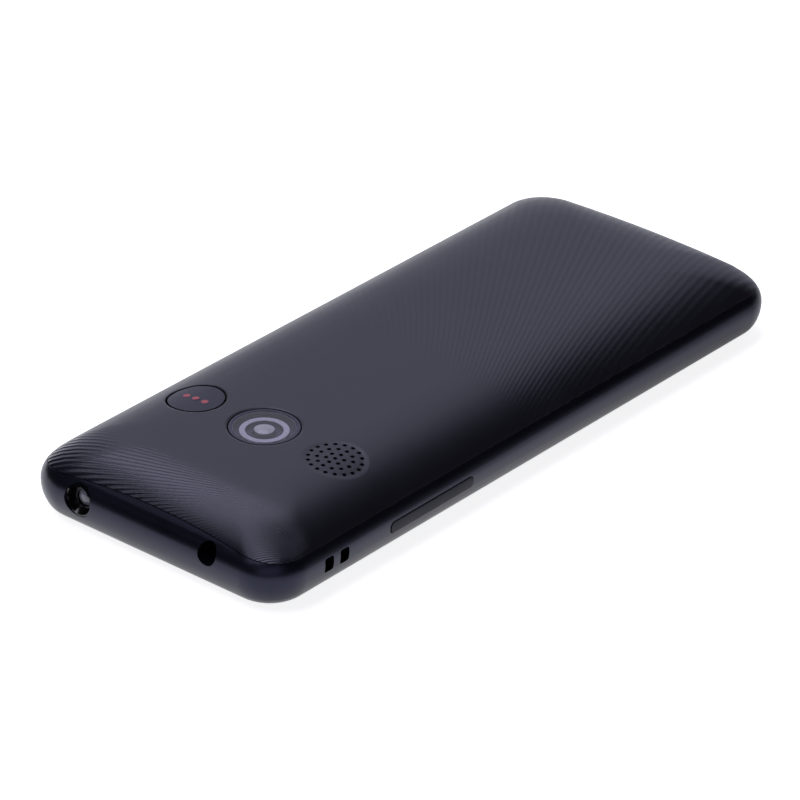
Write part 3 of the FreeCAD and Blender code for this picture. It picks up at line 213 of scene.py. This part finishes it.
def ribbedPlastic(name, look):
    # satin ABS whose mould was engraved with a fan of fine lines: they comb the reflections
    material, tree = newMaterial(name)
    point = objectPoint(tree)
    axes = addNode(tree, "ShaderNodeSeparateXYZ", {0: point})
    handled = addNode(tree, "ShaderNodeTexNoise", {"Vector": point, "Scale": perMetre(look["patchMm"]),
                                                   "Detail": 4.0, "Roughness": 0.55})
    grain = addNode(tree, "ShaderNodeTexNoise", {"Vector": point, "Scale": perMetre(look["grainMm"]),
                                                 "Detail": 2.0})
    colour = addNode(tree, "ShaderNodeMix", {"Factor": handled.outputs["Fac"], "A": toLinear(look["dark"]),
                                             "B": toLinear(look["light"])}, data_type="RGBA")
    rough = addNode(tree, "ShaderNodeMapRange", {"Value": handled.outputs["Fac"], "From Min": patchSpan[0],
                                                 "From Max": patchSpan[1],
                                                 "To Min": look["rough"][0], "To Max": look["rough"][1]})
    # the steep top end is polished a little smoother
    polish = addNode(tree, "ShaderNodeMath", {0: endShare(tree, axes, look), 1: -look["endPolish"],
                                              2: rough.outputs[0]}, operation="MULTIPLY_ADD")
    # shallow dish with a soft edge round the sound holes, and eased edges on the two round openings
    rise = riseRound(tree, axes, look["dishXMm"] * mm, look["dishYMm"] * mm,
                     (look["dishRadiusMm"] - look["dishEdgeMm"]) * mm,
                     (look["dishRadiusMm"] + look["dishEdgeMm"] / 2) * mm)
    dish = addNode(tree, "ShaderNodeBump", {"Height": rise, "Strength": 1.0,
                                            "Distance": look["dishDepthMm"] * mm})
    for within, radiusMm in roundOpenings.items():
        low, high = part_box(within)
        rise = riseRound(tree, axes, (low.x + high.x) / 2, (low.y + high.y) / 2, radiusMm * mm,
                         (radiusMm + look["rimWidthMm"]) * mm)
        dish = addNode(tree, "ShaderNodeBump", {"Height": rise, "Strength": 1.0, "Normal": dish.outputs[0],
                                                "Distance": look["rimDepthMm"] * mm})
    ribs = addNode(tree, "ShaderNodeBump", {"Height": ribHeight(tree, axes, look), "Strength": 1.0,
                                            "Distance": look["lineDepthMm"] * mm / 2,
                                            "Normal": dish.outputs[0]})
    pitted = addNode(tree, "ShaderNodeBump", {
        "Height": grain.outputs["Fac"], "Strength": look["grainStrength"],
        "Distance": look["grainDepthMm"] * mm, "Normal": ribs.outputs[0]})
    shader = addNode(tree, "ShaderNodeBsdfPrincipled", {
        "Base Color": colour.outputs["Result"], "Roughness": polish.outputs[0], "Normal": pitted.outputs[0],
        "IOR": look["ior"], "Specular IOR Level": look["specular"], "Specular Tint": toLinear(look["tint"]),
        "Sheen Weight": look["sheen"], "Sheen Roughness": look["sheenRough"]})
    finishMaterial(tree, shader)
    return material


coverPlastic = ribbedPlastic("engravedSatinCover", coverLook)


# ---- metals
def platedMetal(name, look):
    # thin tin or nickel plating over rolled sheet: the rolling leaves fine streaks one way
    material, tree = newMaterial(name)
    streakPoint = objectPoint(tree, scale=(1, look["stretch"], 1))
    streaks = addNode(tree, "ShaderNodeTexNoise", {"Vector": streakPoint,
                                                   "Scale": perMetre(look["streakMm"]),
                                                   "Detail": 4.0})
    stains = addNode(tree, "ShaderNodeTexNoise", {"Vector": objectPoint(tree),
                                                  "Scale": perMetre(look["patchMm"]),
                                                  "Detail": 5.0})
    colour = addNode(tree, "ShaderNodeMix", {"Factor": stains.outputs["Fac"], "A": toLinear(look["dark"]),
                                             "B": toLinear(look["light"])}, data_type="RGBA")
    rough = addNode(tree, "ShaderNodeMapRange", {"Value": streaks.outputs["Fac"], "To Min": look["rough"][0],
                                                 "To Max": look["rough"][1]})
    bump = addNode(tree, "ShaderNodeBump", {"Height": streaks.outputs["Fac"],
                                            "Strength": look["streakStrength"],
                                            "Distance": look["streakDepthMm"] * mm})
    shader = addNode(tree, "ShaderNodeBsdfPrincipled", {
        "Base Color": colour.outputs["Result"], "Metallic": 1.0, "Roughness": rough.outputs[0],
        "Normal": bump.outputs[0]})
    finishMaterial(tree, shader)
    return material


steelLook = {"dark": "#b4b4b6", "light": "#c9cacc", "rough": (0.25, 0.42), "streakMm": 0.15, "stretch": 0.08,
             "streakStrength": 0.3, "streakDepthMm": 0.01,
             "patchMm": 5.0}
tinnedSteel = platedMetal("tinnedSteelSheet", steelLook)
nickelSteel = platedMetal("nickelPlatedSteel", dict(steelLook, dark="#a9a6a0", light="#c4c1ba",
                                                    rough=(0.15, 0.3)))
speakerSteel = platedMetal("stampedSpeakerSteel", dict(steelLook, dark="#77777a", light="#8e8e91"))
domeSteel = platedMetal("sprungStainlessDome", dict(steelLook, dark="#bcbcbd", light="#d2d2d3",
                                                    rough=(0.12, 0.22)))
screwSteel = platedMetal("zincPlatedScrew", dict(steelLook, dark="#8f9094", light="#a9aab0", streakMm=0.3))


# ---- clear pieces
rubSpan = (0.45, 0.8)      # part of the noise that shows as rub marks
rubStretch = 0.2           # rub marks run along the telephone


def clearPlastic(name, look):
    # polished clear PMMA or glass: sharp reflections, faint rub marks
    material, tree = newMaterial(name)
    rubs = addNode(tree, "ShaderNodeTexNoise", {"Vector": objectPoint(tree, scale=(1, rubStretch, 1)),
                                                "Scale": perMetre(look["rubMm"]), "Detail": 5.0})
    rough = addNode(tree, "ShaderNodeMapRange", {"Value": rubs.outputs["Fac"], "From Min": rubSpan[0],
                                                 "From Max": rubSpan[1],
                                                 "To Min": look["rough"][0], "To Max": look["rough"][1]})
    bump = addNode(tree, "ShaderNodeBump", {"Height": rubs.outputs["Fac"], "Strength": look["rubStrength"],
                                            "Distance": look["rubDepthMm"] * mm})
    shader = addNode(tree, "ShaderNodeBsdfPrincipled", {
        "Base Color": toLinear(look["tint"]), "Roughness": rough.outputs[0], "IOR": look["ior"],
        "Transmission Weight": look["clear"], "Normal": bump.outputs[0]})
    finishMaterial(tree, shader)
    return material


windowLook = {"tint": "#1a1a1e", "rough": (0.03, 0.06), "ior": 1.49, "clear": 0.25, "rubMm": 0.8,
              "rubStrength": 0.05, "rubDepthMm": 0.005}
frontWindow = clearPlastic("hardCoatedFrontWindow", windowLook)
lensGlass = clearPlastic("clearTorchLens", dict(windowLook, tint="#a4a4b0", clear=0.3))
# the camera lens is nearly opaque pale grey: painted reflection of the room on its glass, under its real
# gloss
lensPaintedReflection = clearPlastic("cameraLensPaintedReflection", dict(windowLook, tint="#c1bfc4", clear=0.05,
                                                   rough=(0.12, 0.2)))


def tintedPane(name, look):
    # thin polished pane: the tint darkens what lies behind it and the skin mirrors the room
    material, tree = newMaterial(name)
    rubs = addNode(tree, "ShaderNodeTexNoise", {"Vector": objectPoint(tree, scale=(1, rubStretch, 1)),
                                                "Scale": perMetre(look["rubMm"]), "Detail": 5.0})
    rough = addNode(tree, "ShaderNodeMapRange", {"Value": rubs.outputs["Fac"], "From Min": rubSpan[0],
                                                 "From Max": rubSpan[1],
                                                 "To Min": look["rough"][0], "To Max": look["rough"][1]})
    through = addNode(tree, "ShaderNodeBsdfTransparent", {"Color": toLinear(look["tint"])})
    skin = addNode(tree, "ShaderNodeBsdfPrincipled", {
        "Base Color": toLinear(look["skin"]), "Metallic": 1.0, "Roughness": rough.outputs[0]})
    # only the outer skin mirrors
    fresnel = addNode(tree, "ShaderNodeFresnel", {"IOR": look["ior"]})
    geometry = addNode(tree, "ShaderNodeNewGeometry")
    outside = addNode(tree, "ShaderNodeMath", {0: 1.0, 1: geometry.outputs["Backfacing"]},
                      operation="SUBTRACT")
    share = addNode(tree, "ShaderNodeMath", {0: fresnel.outputs[0], 1: outside.outputs[0]},
                    operation="MULTIPLY")
    finishMaterial(tree, addNode(tree, "ShaderNodeMixShader", {0: share.outputs[0], 1: through.outputs[0],
                                                              2: skin.outputs[0]}))
    return material


paneLook = {"tint": "#e6e6ec", "skin": "#ffffff", "rough": (0.06, 0.14), "ior": 1.585, "rubMm": 0.8}
rearWindow = tintedPane("smokedCameraWindow", paneLook)


# ---- films, boards, cloth and light source
def glossFilm(name, look):
    # printed or coated film: smooth skin with slight waviness underneath
    material, tree = newMaterial(name)
    waves = addNode(tree, "ShaderNodeTexNoise", {"Vector": objectPoint(tree),
                                                 "Scale": perMetre(look["waveMm"]),
                                                 "Detail": 2.0})
    specks = addNode(tree, "ShaderNodeTexNoise", {"Vector": objectPoint(tree),
                                                  "Scale": perMetre(look["speckMm"]),
                                                  "Detail": 5.0})
    colour = addNode(tree, "ShaderNodeMix", {"Factor": specks.outputs["Fac"], "A": toLinear(look["dark"]),
                                             "B": toLinear(look["light"])}, data_type="RGBA")
    rough = addNode(tree, "ShaderNodeMapRange", {"Value": specks.outputs["Fac"], "To Min": look["rough"][0],
                                                 "To Max": look["rough"][1]})
    bump = addNode(tree, "ShaderNodeBump", {"Height": waves.outputs["Fac"], "Strength": look["waveStrength"],
                                            "Distance": look["waveDepthMm"] * mm})
    shader = addNode(tree, "ShaderNodeBsdfPrincipled", {
        "Base Color": colour.outputs["Result"], "Roughness": rough.outputs[0], "IOR": look["ior"],
        "Normal": bump.outputs[0]})
    finishMaterial(tree, shader)
    return material


filmLook = {"dark": "#0c0c0e", "light": "#111114", "rough": (0.12, 0.22), "ior": 1.5, "waveMm": 12.0,
            "waveStrength": 0.1, "waveDepthMm": 0.1, "speckMm": 1.0}
darkDisplay = glossFilm("unlitDisplayGlass", filmLook)
polyimide = glossFilm("amberPolyimideFilm", dict(filmLook, dark="#8a5414", light="#a56a1e",
                                                 rough=(0.2, 0.35)))
batteryWrap = glossFilm("blackBatteryWrap", dict(filmLook, dark="#34363b", light="#3e4047",
                                                 rough=(0.28, 0.4), waveStrength=0.4, waveMm=6.0))
solderMask = glossFilm("greenSolderMask", dict(filmLook, dark="#0c3a22", light="#11502f", rough=(0.25, 0.4),
                                               speckMm=0.6))
ringInk = glossFilm("paleGreyRingInk", dict(filmLook, dark="#f0eef2", light="#f6f4f8", rough=(0.3, 0.4)))
phosphor = glossFilm("yellowLedPhosphor", dict(filmLook, dark="#6f6a4c", light="#857f5e", rough=(0.3, 0.45)))
redInk = glossFilm("redMarkInk", dict(filmLook, dark="#a23a48", light="#b04452", rough=(0.35, 0.45)))
whiteInk = glossFilm("whiteLegendInk", dict(filmLook, dark="#cfcfd2", light="#dedee0", rough=(0.35, 0.45)))
greenInk = glossFilm("greenMarkInk", dict(filmLook, dark="#2c8a45", light="#349a50", rough=(0.35, 0.45)))


def wovenCloth(name, look):
    # acoustic cloth, one thread over and one under
    material, tree = newMaterial(name)
    point = objectPoint(tree)
    turnPerMetre = math.pi / (look["threadMm"] * mm)
    axes = addNode(tree, "ShaderNodeSeparateXYZ", {0: point})
    waves = []
    for axis in (0, 1):
        phase = addNode(tree, "ShaderNodeMath", {0: axes.outputs[axis], 1: turnPerMetre},
                        operation="MULTIPLY")
        waves.append(addNode(tree, "ShaderNodeMath", {0: phase.outputs[0]}, operation="SINE"))
    weave = addNode(tree, "ShaderNodeMath", {0: waves[0].outputs[0], 1: waves[1].outputs[0]},
                    operation="MULTIPLY")
    share = addNode(tree, "ShaderNodeMapRange", {"Value": weave.outputs[0], "From Min": -1.0})
    colour = addNode(tree, "ShaderNodeMix", {"Factor": share.outputs[0], "A": toLinear(look["dark"]),
                                             "B": toLinear(look["light"])}, data_type="RGBA")
    bump = addNode(tree, "ShaderNodeBump", {"Height": weave.outputs[0], "Strength": look["strength"],
                                            "Distance": look["depthMm"] * mm})
    shader = addNode(tree, "ShaderNodeBsdfPrincipled", {
        "Base Color": colour.outputs["Result"], "Roughness": look["rough"], "Normal": bump.outputs[0]})
    finishMaterial(tree, shader)
    return material


clothLook = {"dark": "#060607", "light": "#151517", "threadMm": 0.16, "strength": 0.8, "depthMm": 0.05,
             "rough": 0.8}
acousticCloth = wovenCloth("blackAcousticCloth", clothLook)

slotMaterials = {
    "housing": satinHousing, "cover": coverPlastic, "window_glass": frontWindow,
    "window_glass_rear": rearWindow, "display": darkDisplay, "pressed_steel": tinnedSteel,
    "socket_steel": nickelSteel, "socket_plastic": socketPlastic, "speaker_metal": speakerSteel,
    "gauze": acousticCloth, "silicone": matSilicone, "film": polyimide, "dome_steel": domeSteel,
    "board": solderMask, "recess": recessPlastic, "clear_lens": lensGlass, "led": phosphor,
    "component_black": componentPlastic, "chassis": erodedChassis, "screw_steel": screwSteel,
    "battery_wrap": batteryWrap, "foam": gasketFoam, "bezel": bezelPlastic, "ring_print": ringInk,
    "alarm_key": alarmKeyPlastic, "side_key": sideKeyPlastic, "key_caps": keyPlastic}

slotOf = {part["node"]: part["material_slot"] for part in frame["record"]["subparts"]}
bodyOf = {name: body for body, names in frame["record"]["behaviour"]["bodies"].items() for name in names}
for name, node in nodes.items():
    node.data.materials.clear()
    node.data.materials.append(slotMaterials[slotOf[name]])
print("materials made:", len(bpy.data.materials))


# ---- pieces that take the place of the plain nodes
def joinBody(piece, body):
    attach(piece, body)
    return piece


def newPiece(name, made, material, body):
    # a bmesh becomes a piece that rides on its body
    mesh = bpy.data.meshes.new(name)
    made.to_mesh(mesh)
    made.free()
    mesh.materials.append(material)
    piece = bpy.data.objects.new(name, mesh)
    bpy.context.scene.collection.objects.link(piece)
    return joinBody(piece, body)


copyFit = {"mergeMm": 0.002, "sliverMm": 0.001}
allOfIt = 9.0              # deeper than any piece that is lifted whole, in mm


def smoothCopy(name, pieceName, sharpDeg=28, material=None, crownSinkMm=None, lifts=(), slim=1.0):
    # the node's own form, merged and shaded smooth between its real edges; each lift moves what lies
    # less than so many mm under the top
    made = bmesh.new()
    made.from_mesh(nodes[name].data)
    bmesh.ops.remove_doubles(made, verts=made.verts, dist=copyFit["mergeMm"] * mm)
    bmesh.ops.dissolve_degenerate(made, edges=made.edges, dist=copyFit["sliverMm"] * mm)
    low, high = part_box(name)
    top = high.z
    bmesh.ops.scale(made, verts=made.verts, vec=(slim, slim, 1), space=Matrix.Translation((low + high) / -2))
    for belowTopMm, liftMm in lifts:
        upper = [vert for vert in made.verts if vert.co.z > top - belowTopMm * mm]
        bmesh.ops.translate(made, verts=upper, vec=(0, 0, liftMm * mm))
    for face in made.faces:
        face.smooth = True
    for edge in made.edges:
        edge.smooth = len(edge.link_faces) == 2 and edge.calc_face_angle(0) < math.radians(sharpDeg)
    piece = newPiece(pieceName, made, material or slotMaterials[slotOf[name]], bodyOf[name])
    if crownSinkMm is None:
        piece.modifiers.new("weightedNormals", "WEIGHTED_NORMAL").keep_sharp = True
    else:
        followCrown(piece.data, crownSinkMm)
    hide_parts(name)
    return piece


# form of the rear surface, so that its broad strips shade as one crown
crownForm = {"halfWidthMm": 27.0, "halfLengthMm": 66.0, "cornerMm": 6.84, "rimInsetMm": 1.06,
             "flatInsetMm": 19.5, "rimMm": 8.2, "topMm": 13.25, "power": 3.6, "root": 1.135,
             "bowRadiusMm": 207.98, "nearDeg": 26}


def crownNormal(x, y, z):
    # direction that the ideal crown faces at a place, in mm
    form = crownForm
    rise = min(max((z - form["rimMm"]) / (form["topMm"] - form["rimMm"]), 0.001), 1.0)
    left = max(1 - rise ** form["root"], 0.0) ** (1 / form["power"])
    run = form["flatInsetMm"] - form["rimInsetMm"]
    steep = (form["topMm"] - form["rimMm"]) / run * form["power"] / form["root"]
    steep *= left ** (form["power"] - 1) * rise ** (1 - form["root"])
    inset = form["rimInsetMm"] + run * (1 - left)
    bend = form["cornerMm"]
    cornerX = form["halfWidthMm"] - inset - bend
    bowY = form["halfLengthMm"] - form["bowRadiusMm"]
    topY = bend + inset - form["halfLengthMm"]
    bottomY = bowY + math.sqrt((form["bowRadiusMm"] - inset - bend) ** 2 - cornerX ** 2)
    outX = max(abs(x) - cornerX, 0.0)
    if y > bottomY and math.atan2(y - bottomY, outX) > math.atan2(bottomY - bowY, cornerX):
        out = Vector((abs(x), y - bowY, 0)).normalized()
        spread = 1.0
    else:
        outY = y - bottomY if y > bottomY else min(y - topY, 0.0)
        out = Vector((outX, outY, 0)).normalized()
        spread = max(abs(out.x) + abs(out.y), 1.0)
    return Vector((math.copysign(out.x, x) * steep / spread, out.y * steep / spread, 1)).normalized()


def followCrown(mesh, sinkMm):
    # faces that lie near the crown take their shading from it
    normals = [Vector(corner.vector) for corner in mesh.corner_normals]
    nearest = math.cos(math.radians(crownForm["nearDeg"]))
    for face in mesh.polygons:
        for index in face.loop_indices:
            place = mesh.vertices[mesh.loops[index].vertex_index].co / mm
            wanted = crownNormal(place.x, place.y, place.z + sinkMm)
            if face.normal.dot(wanted) > nearest:
                normals[index] = wanted
    mesh.normals_split_custom_set([tuple(normal) for normal in normals])


smoothCopy("front_housing", "housingShell")
smoothCopy("rear_cover", "coverShell", crownSinkMm=0.0)
smoothCopy("sos_key", "alarmKeyCap", crownSinkMm=0.03, lifts=[(1.25, 0.12)], slim=0.975)
smoothCopy("camera_bezel", "cameraBezelCup", lifts=[(0.2, 0.12)])
smoothCopy("camera_window", "cameraWindowPane", lifts=[(0.3, -0.3), (allOfIt, 0.5)])
smoothCopy("camera_ring", "cameraRingPrint", lifts=[(allOfIt, 0.4)])
smoothCopy("camera_lens", "cameraLensDome", sharpDeg=40, material=lensPaintedReflection, lifts=[(allOfIt, 0.95)])
smoothCopy("torch_cup", "torchFunnel", sharpDeg=40)
smoothCopy("torch_lens", "torchLensDome", sharpDeg=40)
smoothCopy("volume_rocker", "volumeKeyBar")
smoothCopy("headphone_jack", "headphoneSocketBody")
smoothCopy("display_window", "frontWindowPane")
print("smooth copies made")

# ---- red mark of the alarm key: three dots in a row
alarmMark = {"dotMm": 1.2, "pitchMm": 1.95, "thicknessMm": 0.04, "offsetYMm": -0.1, "raiseMm": 0.12,
             "sides": 24}


def makeAlarmMark():
    low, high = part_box("sos_key")
    middle = (low + high) / 2
    key = bmesh.new()
    key.from_mesh(nodes["sos_key"].data)
    keySurface = BVHTree.FromBMesh(key)
    key.free()
    down = Vector((0, 0, -1))
    raised = Vector((0, 0, alarmMark["raiseMm"] * mm))
    radius = alarmMark["dotMm"] * mm / 2
    made = bmesh.new()
    for step in (-1, 0, 1):
        x = middle.x + step * alarmMark["pitchMm"] * mm
        y = middle.y + alarmMark["offsetYMm"] * mm
        place, normal, index, distance = keySurface.ray_cast(Vector((x, y, 2 * high.z)), down)
        turned = normal.to_track_quat("Z", "Y").to_matrix().to_4x4()
        bmesh.ops.create_cone(made, cap_ends=True, segments=alarmMark["sides"], radius1=radius,
                              radius2=radius, depth=alarmMark["thicknessMm"] * mm,
                              matrix=Matrix.Translation(place + raised) @ turned)
    newPiece("alarmKeyDots", made, redInk, "alarm_key")


makeAlarmMark()

# ---- legends of the front keys
legend = {"heightMm": 3.6, "bodyShare": 1.4, "thicknessMm": 0.03, "curveSteps": 3}
legendOf = {"key_one": "1", "key_two": "2", "key_three": "3", "key_four": "4", "key_five": "5",
            "key_six": "6", "key_seven": "7", "key_eight": "8", "key_nine": "9", "key_star": "*",
            "key_zero": "0", "key_hash": "#"}


def makeLegend(name, sign):
    # the sign lies on the cap's front face and reads upright from the front
    low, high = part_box(name)
    curve = bpy.data.curves.new("legend_" + name, "FONT")
    curve.body = sign
    curve.align_x = "CENTER"
    curve.align_y = "CENTER"
    curve.size = legend["heightMm"] * mm * legend["bodyShare"]
    curve.extrude = legend["thicknessMm"] * mm / 2
    curve.resolution_u = legend["curveSteps"]
    flat = bpy.data.objects.new("flatLegend", curve)
    bpy.context.scene.collection.objects.link(flat)
    bpy.context.view_layer.update()
    mesh = bpy.data.meshes.new_from_object(flat.evaluated_get(bpy.context.evaluated_depsgraph_get()))
    bpy.data.objects.remove(flat)
    place = Vector(((low.x + high.x) / 2, (low.y + high.y) / 2, low.z))
    mesh.transform(Matrix.Translation(place) @ Matrix.Rotation(math.pi, 4, "X"))
    made = bmesh.new()
    made.from_mesh(mesh)
    bpy.data.meshes.remove(mesh)
    newPiece("legend_" + name, made, whiteInk, bodyOf[name])


for name, sign in legendOf.items():
    makeLegend(name, sign)

# ---- printed bars, and dark bars of painted shade crossing the screw heads: place in x and y on the node, length, width in mm, turn in degrees
markBars = {"soft_key_left": [(0, 0, 3.2, 0.5, 0)], "soft_key_right": [(0, 0, 3.2, 0.5, 0)],
            "call_key": [(0, 0, 2.6, 0.7, -35), (-1.1, -0.7, 0.9, 0.9, -35), (1.1, 0.7, 0.9, 0.9, -35)],
            "end_key": [(0, 0, 3.0, 0.7, 0), (-1.4, 0.3, 0.9, 0.9, 0), (1.4, 0.3, 0.9, 0.9, 0)],
            "nav_ring": [(0, 6.4, 2.0, 0.4, 0), (0, -6.4, 2.0, 0.4, 0), (6.4, 0, 0.4, 2.0, 0),
                         (-6.4, 0, 0.4, 2.0, 0)],
            "ok_key": [(0, 0, 1.2, 1.2, 45)],
            "battery": [(-8.0, -17.0, 2.4, 0.5, 0), (-8.0, -17.0, 0.5, 2.4, 0), (8.0, -17.0, 2.4, 0.5, 0),
                        (0, 12.0, 22.0, 0.3, 0), (0, 14.0, 22.0, 0.3, 0), (0, 16.0, 16.0, 0.3, 0)],
            # the screw heads get dark crosses of black plastic: painted shade where their cross recesses
            # would be
            "chassis_screws": [(x, y, 1.7, 0.36, turn) for x in (-23.3, 23.3) for y in (-58.5, -2.35, 56.74)
                               for turn in (45, -45)]}
# the dark plastic on the screw heads is painted shade; the other colours are ink
markInkAndShade = {"call_key": greenInk, "end_key": redInk, "chassis_screws": componentPlastic}


def makeMarks(name, bars):
    # flat bars on the front face of a key, or on the back of what lies inside: ink on keys and battery,
    # painted shade for the cross recesses of the screw heads
    low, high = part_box(name)
    isKey = name not in ("battery", "chassis_screws")
    middle = Vector((0, 0, 0)) if name == "chassis_screws" else (low + high) / 2
    level = low.z if isKey else high.z
    made = bmesh.new()
    for x, y, length, width, turnDeg in bars:
        place = Matrix.Translation((middle.x + x * mm, middle.y + y * mm, level))
        size = Matrix.Diagonal((length * mm, width * mm, legend["thicknessMm"] * mm, 1))
        turned = Matrix.Rotation(math.radians(turnDeg), 4, "Z")
        bmesh.ops.create_cube(made, size=1, matrix=place @ turned @ size)
    newPiece("marks_" + name, made, markInkAndShade.get(name, whiteInk), bodyOf[name])


for name, bars in markBars.items():
    makeMarks(name, bars)
print("legends and marks made")

# ---- bead of glue that fills the joint round the camera window
glueBead = {"innerMm": 5.05, "outerMm": 5.45, "abovePaneMm": 0.18, "depthMm": 0.3, "sides": 96}


def makeGlueBead():
    low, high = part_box("camera_window")
    middle = (low + high) / 2
    made = bmesh.new()
    spun = []
    for radius, drop in ((glueBead["innerMm"], 0.0), (glueBead["outerMm"], 0.0), (glueBead["outerMm"], 1.0),
                         (glueBead["innerMm"], 1.0)):
        level = high.z + (glueBead["abovePaneMm"] - drop * glueBead["depthMm"]) * mm
        spun.append(made.verts.new((middle.x + radius * mm, middle.y, level)))
    edges = [made.edges.new((spun[i], spun[(i + 1) % 4])) for i in range(4)]
    bmesh.ops.spin(made, geom=spun + edges, cent=(middle.x, middle.y, 0), axis=(0, 0, 1), angle=2 * math.pi,
                   steps=glueBead["sides"], use_merge=True)
    bmesh.ops.recalc_face_normals(made, faces=made.faces)
    newPiece("cameraWindowGlue", made, bezelPlastic, "body")


makeGlueBead()

# ---- floor, light and camera
# litAlong, litFromM, litToM and litFar set where the floor's painted glow, as seen in reflections, fades
stageLook = {"floorSizeM": 12.0, "floorSinkMm": 0.1, "paperDark": "#dadada", "paperLight": "#e0e0e0",
             "fibreMm": 40.0, "floorLift": 0.85, "litAlong": (0.8, 0.6, 0), "litFromM": 0.015,
             "litToM": 0.095, "litFar": 0.12, "worldColour": "#5a5a68", "worldStrength": 0.15}


def makeFloor():
    made = bmesh.new()
    bmesh.ops.create_grid(made, x_segments=1, y_segments=1, size=stageLook["floorSizeM"] / 2,
                          matrix=Matrix.Translation((0, 0, -stageLook["floorSinkMm"] * mm)))
    mesh = bpy.data.meshes.new("studioFloor")
    made.to_mesh(mesh)
    made.free()
    floor = bpy.data.objects.new("studioFloor", mesh)
    bpy.context.scene.collection.objects.link(floor)
    material, tree = newMaterial("palePaperFloor")
    # matt paper; seen by the camera it is lifted to the white of the page; seen by gloss and glass it glows
    # as painted light that fades away from the telephone, so the telephone's sides show a painted reflection
    fibres = addNode(tree, "ShaderNodeTexNoise", {"Vector": objectPoint(tree),
                                                  "Scale": perMetre(stageLook["fibreMm"])})
    tone = addNode(tree, "ShaderNodeMix", {
        "Factor": fibres.outputs["Fac"], "A": toLinear(stageLook["paperDark"]),
        "B": toLinear(stageLook["paperLight"])}, data_type="RGBA")
    paper = addNode(tree, "ShaderNodeBsdfDiffuse", {"Color": tone.outputs["Result"]})
    path = addNode(tree, "ShaderNodeLightPath")
    # painted light: the glow that gloss and glass see is full beside the telephone and fades to litFar along
    # litAlong
    away = addNode(tree, "ShaderNodeVectorMath", {0: objectPoint(tree), 1: stageLook["litAlong"]},
                   operation="DOT_PRODUCT")
    lit = addNode(tree, "ShaderNodeMapRange", {"Value": away.outputs["Value"],
                                               "From Min": stageLook["litFromM"],
                                               "From Max": stageLook["litToM"], "To Min": 1.0,
                                               "To Max": stageLook["litFar"]})
    mirrored = addNode(tree, "ShaderNodeMath", {0: path.outputs["Is Glossy Ray"],
                                                1: path.outputs["Is Transmission Ray"]}, operation="MAXIMUM")
    mirrored = addNode(tree, "ShaderNodeMath", {0: mirrored.outputs[0], 1: lit.outputs[0]},
                       operation="MULTIPLY")
    seen = addNode(tree, "ShaderNodeMath", {0: path.outputs["Is Camera Ray"], 1: mirrored.outputs[0]},
                   operation="MAXIMUM")
    lift = addNode(tree, "ShaderNodeMath", {0: seen.outputs[0], 1: stageLook["floorLift"]},
                   operation="MULTIPLY")
    glow = addNode(tree, "ShaderNodeEmission", {"Color": (1, 1, 1, 1), "Strength": lift.outputs[0]})
    both = addNode(tree, "ShaderNodeAddShader", {0: paper.outputs[0], 1: glow.outputs[0]})
    finishMaterial(tree, both)
    mesh.materials.append(material)


# place and aim in metres, size in metres, power in watts
softboxes = {
    "overheadSoftbox": {"place": (-0.35, -0.1, 1.1), "aim": (0, 0, 0), "size": (1.6, 0.7), "power": 10.0,
                        "colour": "#f2f2ff"},
    "backLeftSoftbox": {"place": (-1.0, 1.2, 0.66), "aim": (0, 0, 0.1), "size": (2.4, 1.5), "power": 8.4,
                        "colour": "#e8e8ff"},
    "frontRightSoftbox": {"place": (1.2, -1.4, 0.95), "aim": (0, 0, 0), "size": (2.0, 1.2), "power": 5.0,
                          "colour": "#e8e8ff"},
    "frontLeftSoftbox": {"place": (-0.8, -0.2, 1.1), "aim": (0, 0, 0), "size": (0.5, 0.4), "power": 0.8,
                         "colour": "#f2f2ff"}}


def addLamp(name, box):
    light = bpy.data.lights.new(name, "AREA")
    light.shape = "RECTANGLE"
    light.size, light.size_y = box["size"]
    light.energy = box["power"]
    light.color = toLinear(box["colour"])[:3]
    lamp = bpy.data.objects.new(name, light)
    lamp.location = box["place"]
    facing = Vector(box["aim"]) - Vector(box["place"])
    lamp.rotation_euler = facing.to_track_quat("-Z", "Y").to_euler()
    bpy.context.scene.collection.objects.link(lamp)


makeFloor()
for name, box in softboxes.items():
    addLamp(name, box)

world = bpy.data.worlds.new("dimStudio")
bpy.context.scene.world = world
world.use_nodes = True
world.node_tree.nodes.clear()
surround = addNode(world.node_tree, "ShaderNodeBackground", {"Color": toLinear(stageLook["worldColour"]),
                                                             "Strength": stageLook["worldStrength"]})
addNode(world.node_tree, "ShaderNodeOutputWorld", {"Surface": surround.outputs[0]})

cameraPlace = {"azimuthDeg": 39.283, "elevationDeg": 28.793, "rollDeg": 1.234, "distanceM": 0.8639,
               "targetZMm": 6.5, "lensMm": 235.3, "shiftX": -0.0186, "shiftY": -0.0264, "clipM": (0.05, 50)}


def makeCamera():
    azimuth = math.radians(cameraPlace["azimuthDeg"])
    elevation = math.radians(cameraPlace["elevationDeg"])
    back = Vector((math.sin(azimuth) * math.cos(elevation), -math.cos(azimuth) * math.cos(elevation),
                   math.sin(elevation)))
    data = bpy.data.cameras.new("studioCamera")
    data.lens = cameraPlace["lensMm"]
    data.shift_x = cameraPlace["shiftX"]
    data.shift_y = cameraPlace["shiftY"]
    data.clip_start, data.clip_end = cameraPlace["clipM"]
    camera = bpy.data.objects.new("studioCamera", data)
    camera.location = Vector((0, 0, cameraPlace["targetZMm"] * mm)) + back * cameraPlace["distanceM"]
    facing = (-back).to_track_quat("-Z", "Y")
    camera.rotation_mode = "QUATERNION"
    camera.rotation_quaternion = facing @ Quaternion((0, 0, 1), math.radians(cameraPlace["rollDeg"]))
    bpy.context.scene.collection.objects.link(camera)
    bpy.context.scene.camera = camera


makeCamera()
bpy.context.scene.view_settings.view_transform = "Standard"
print("floor, lamps and camera set")
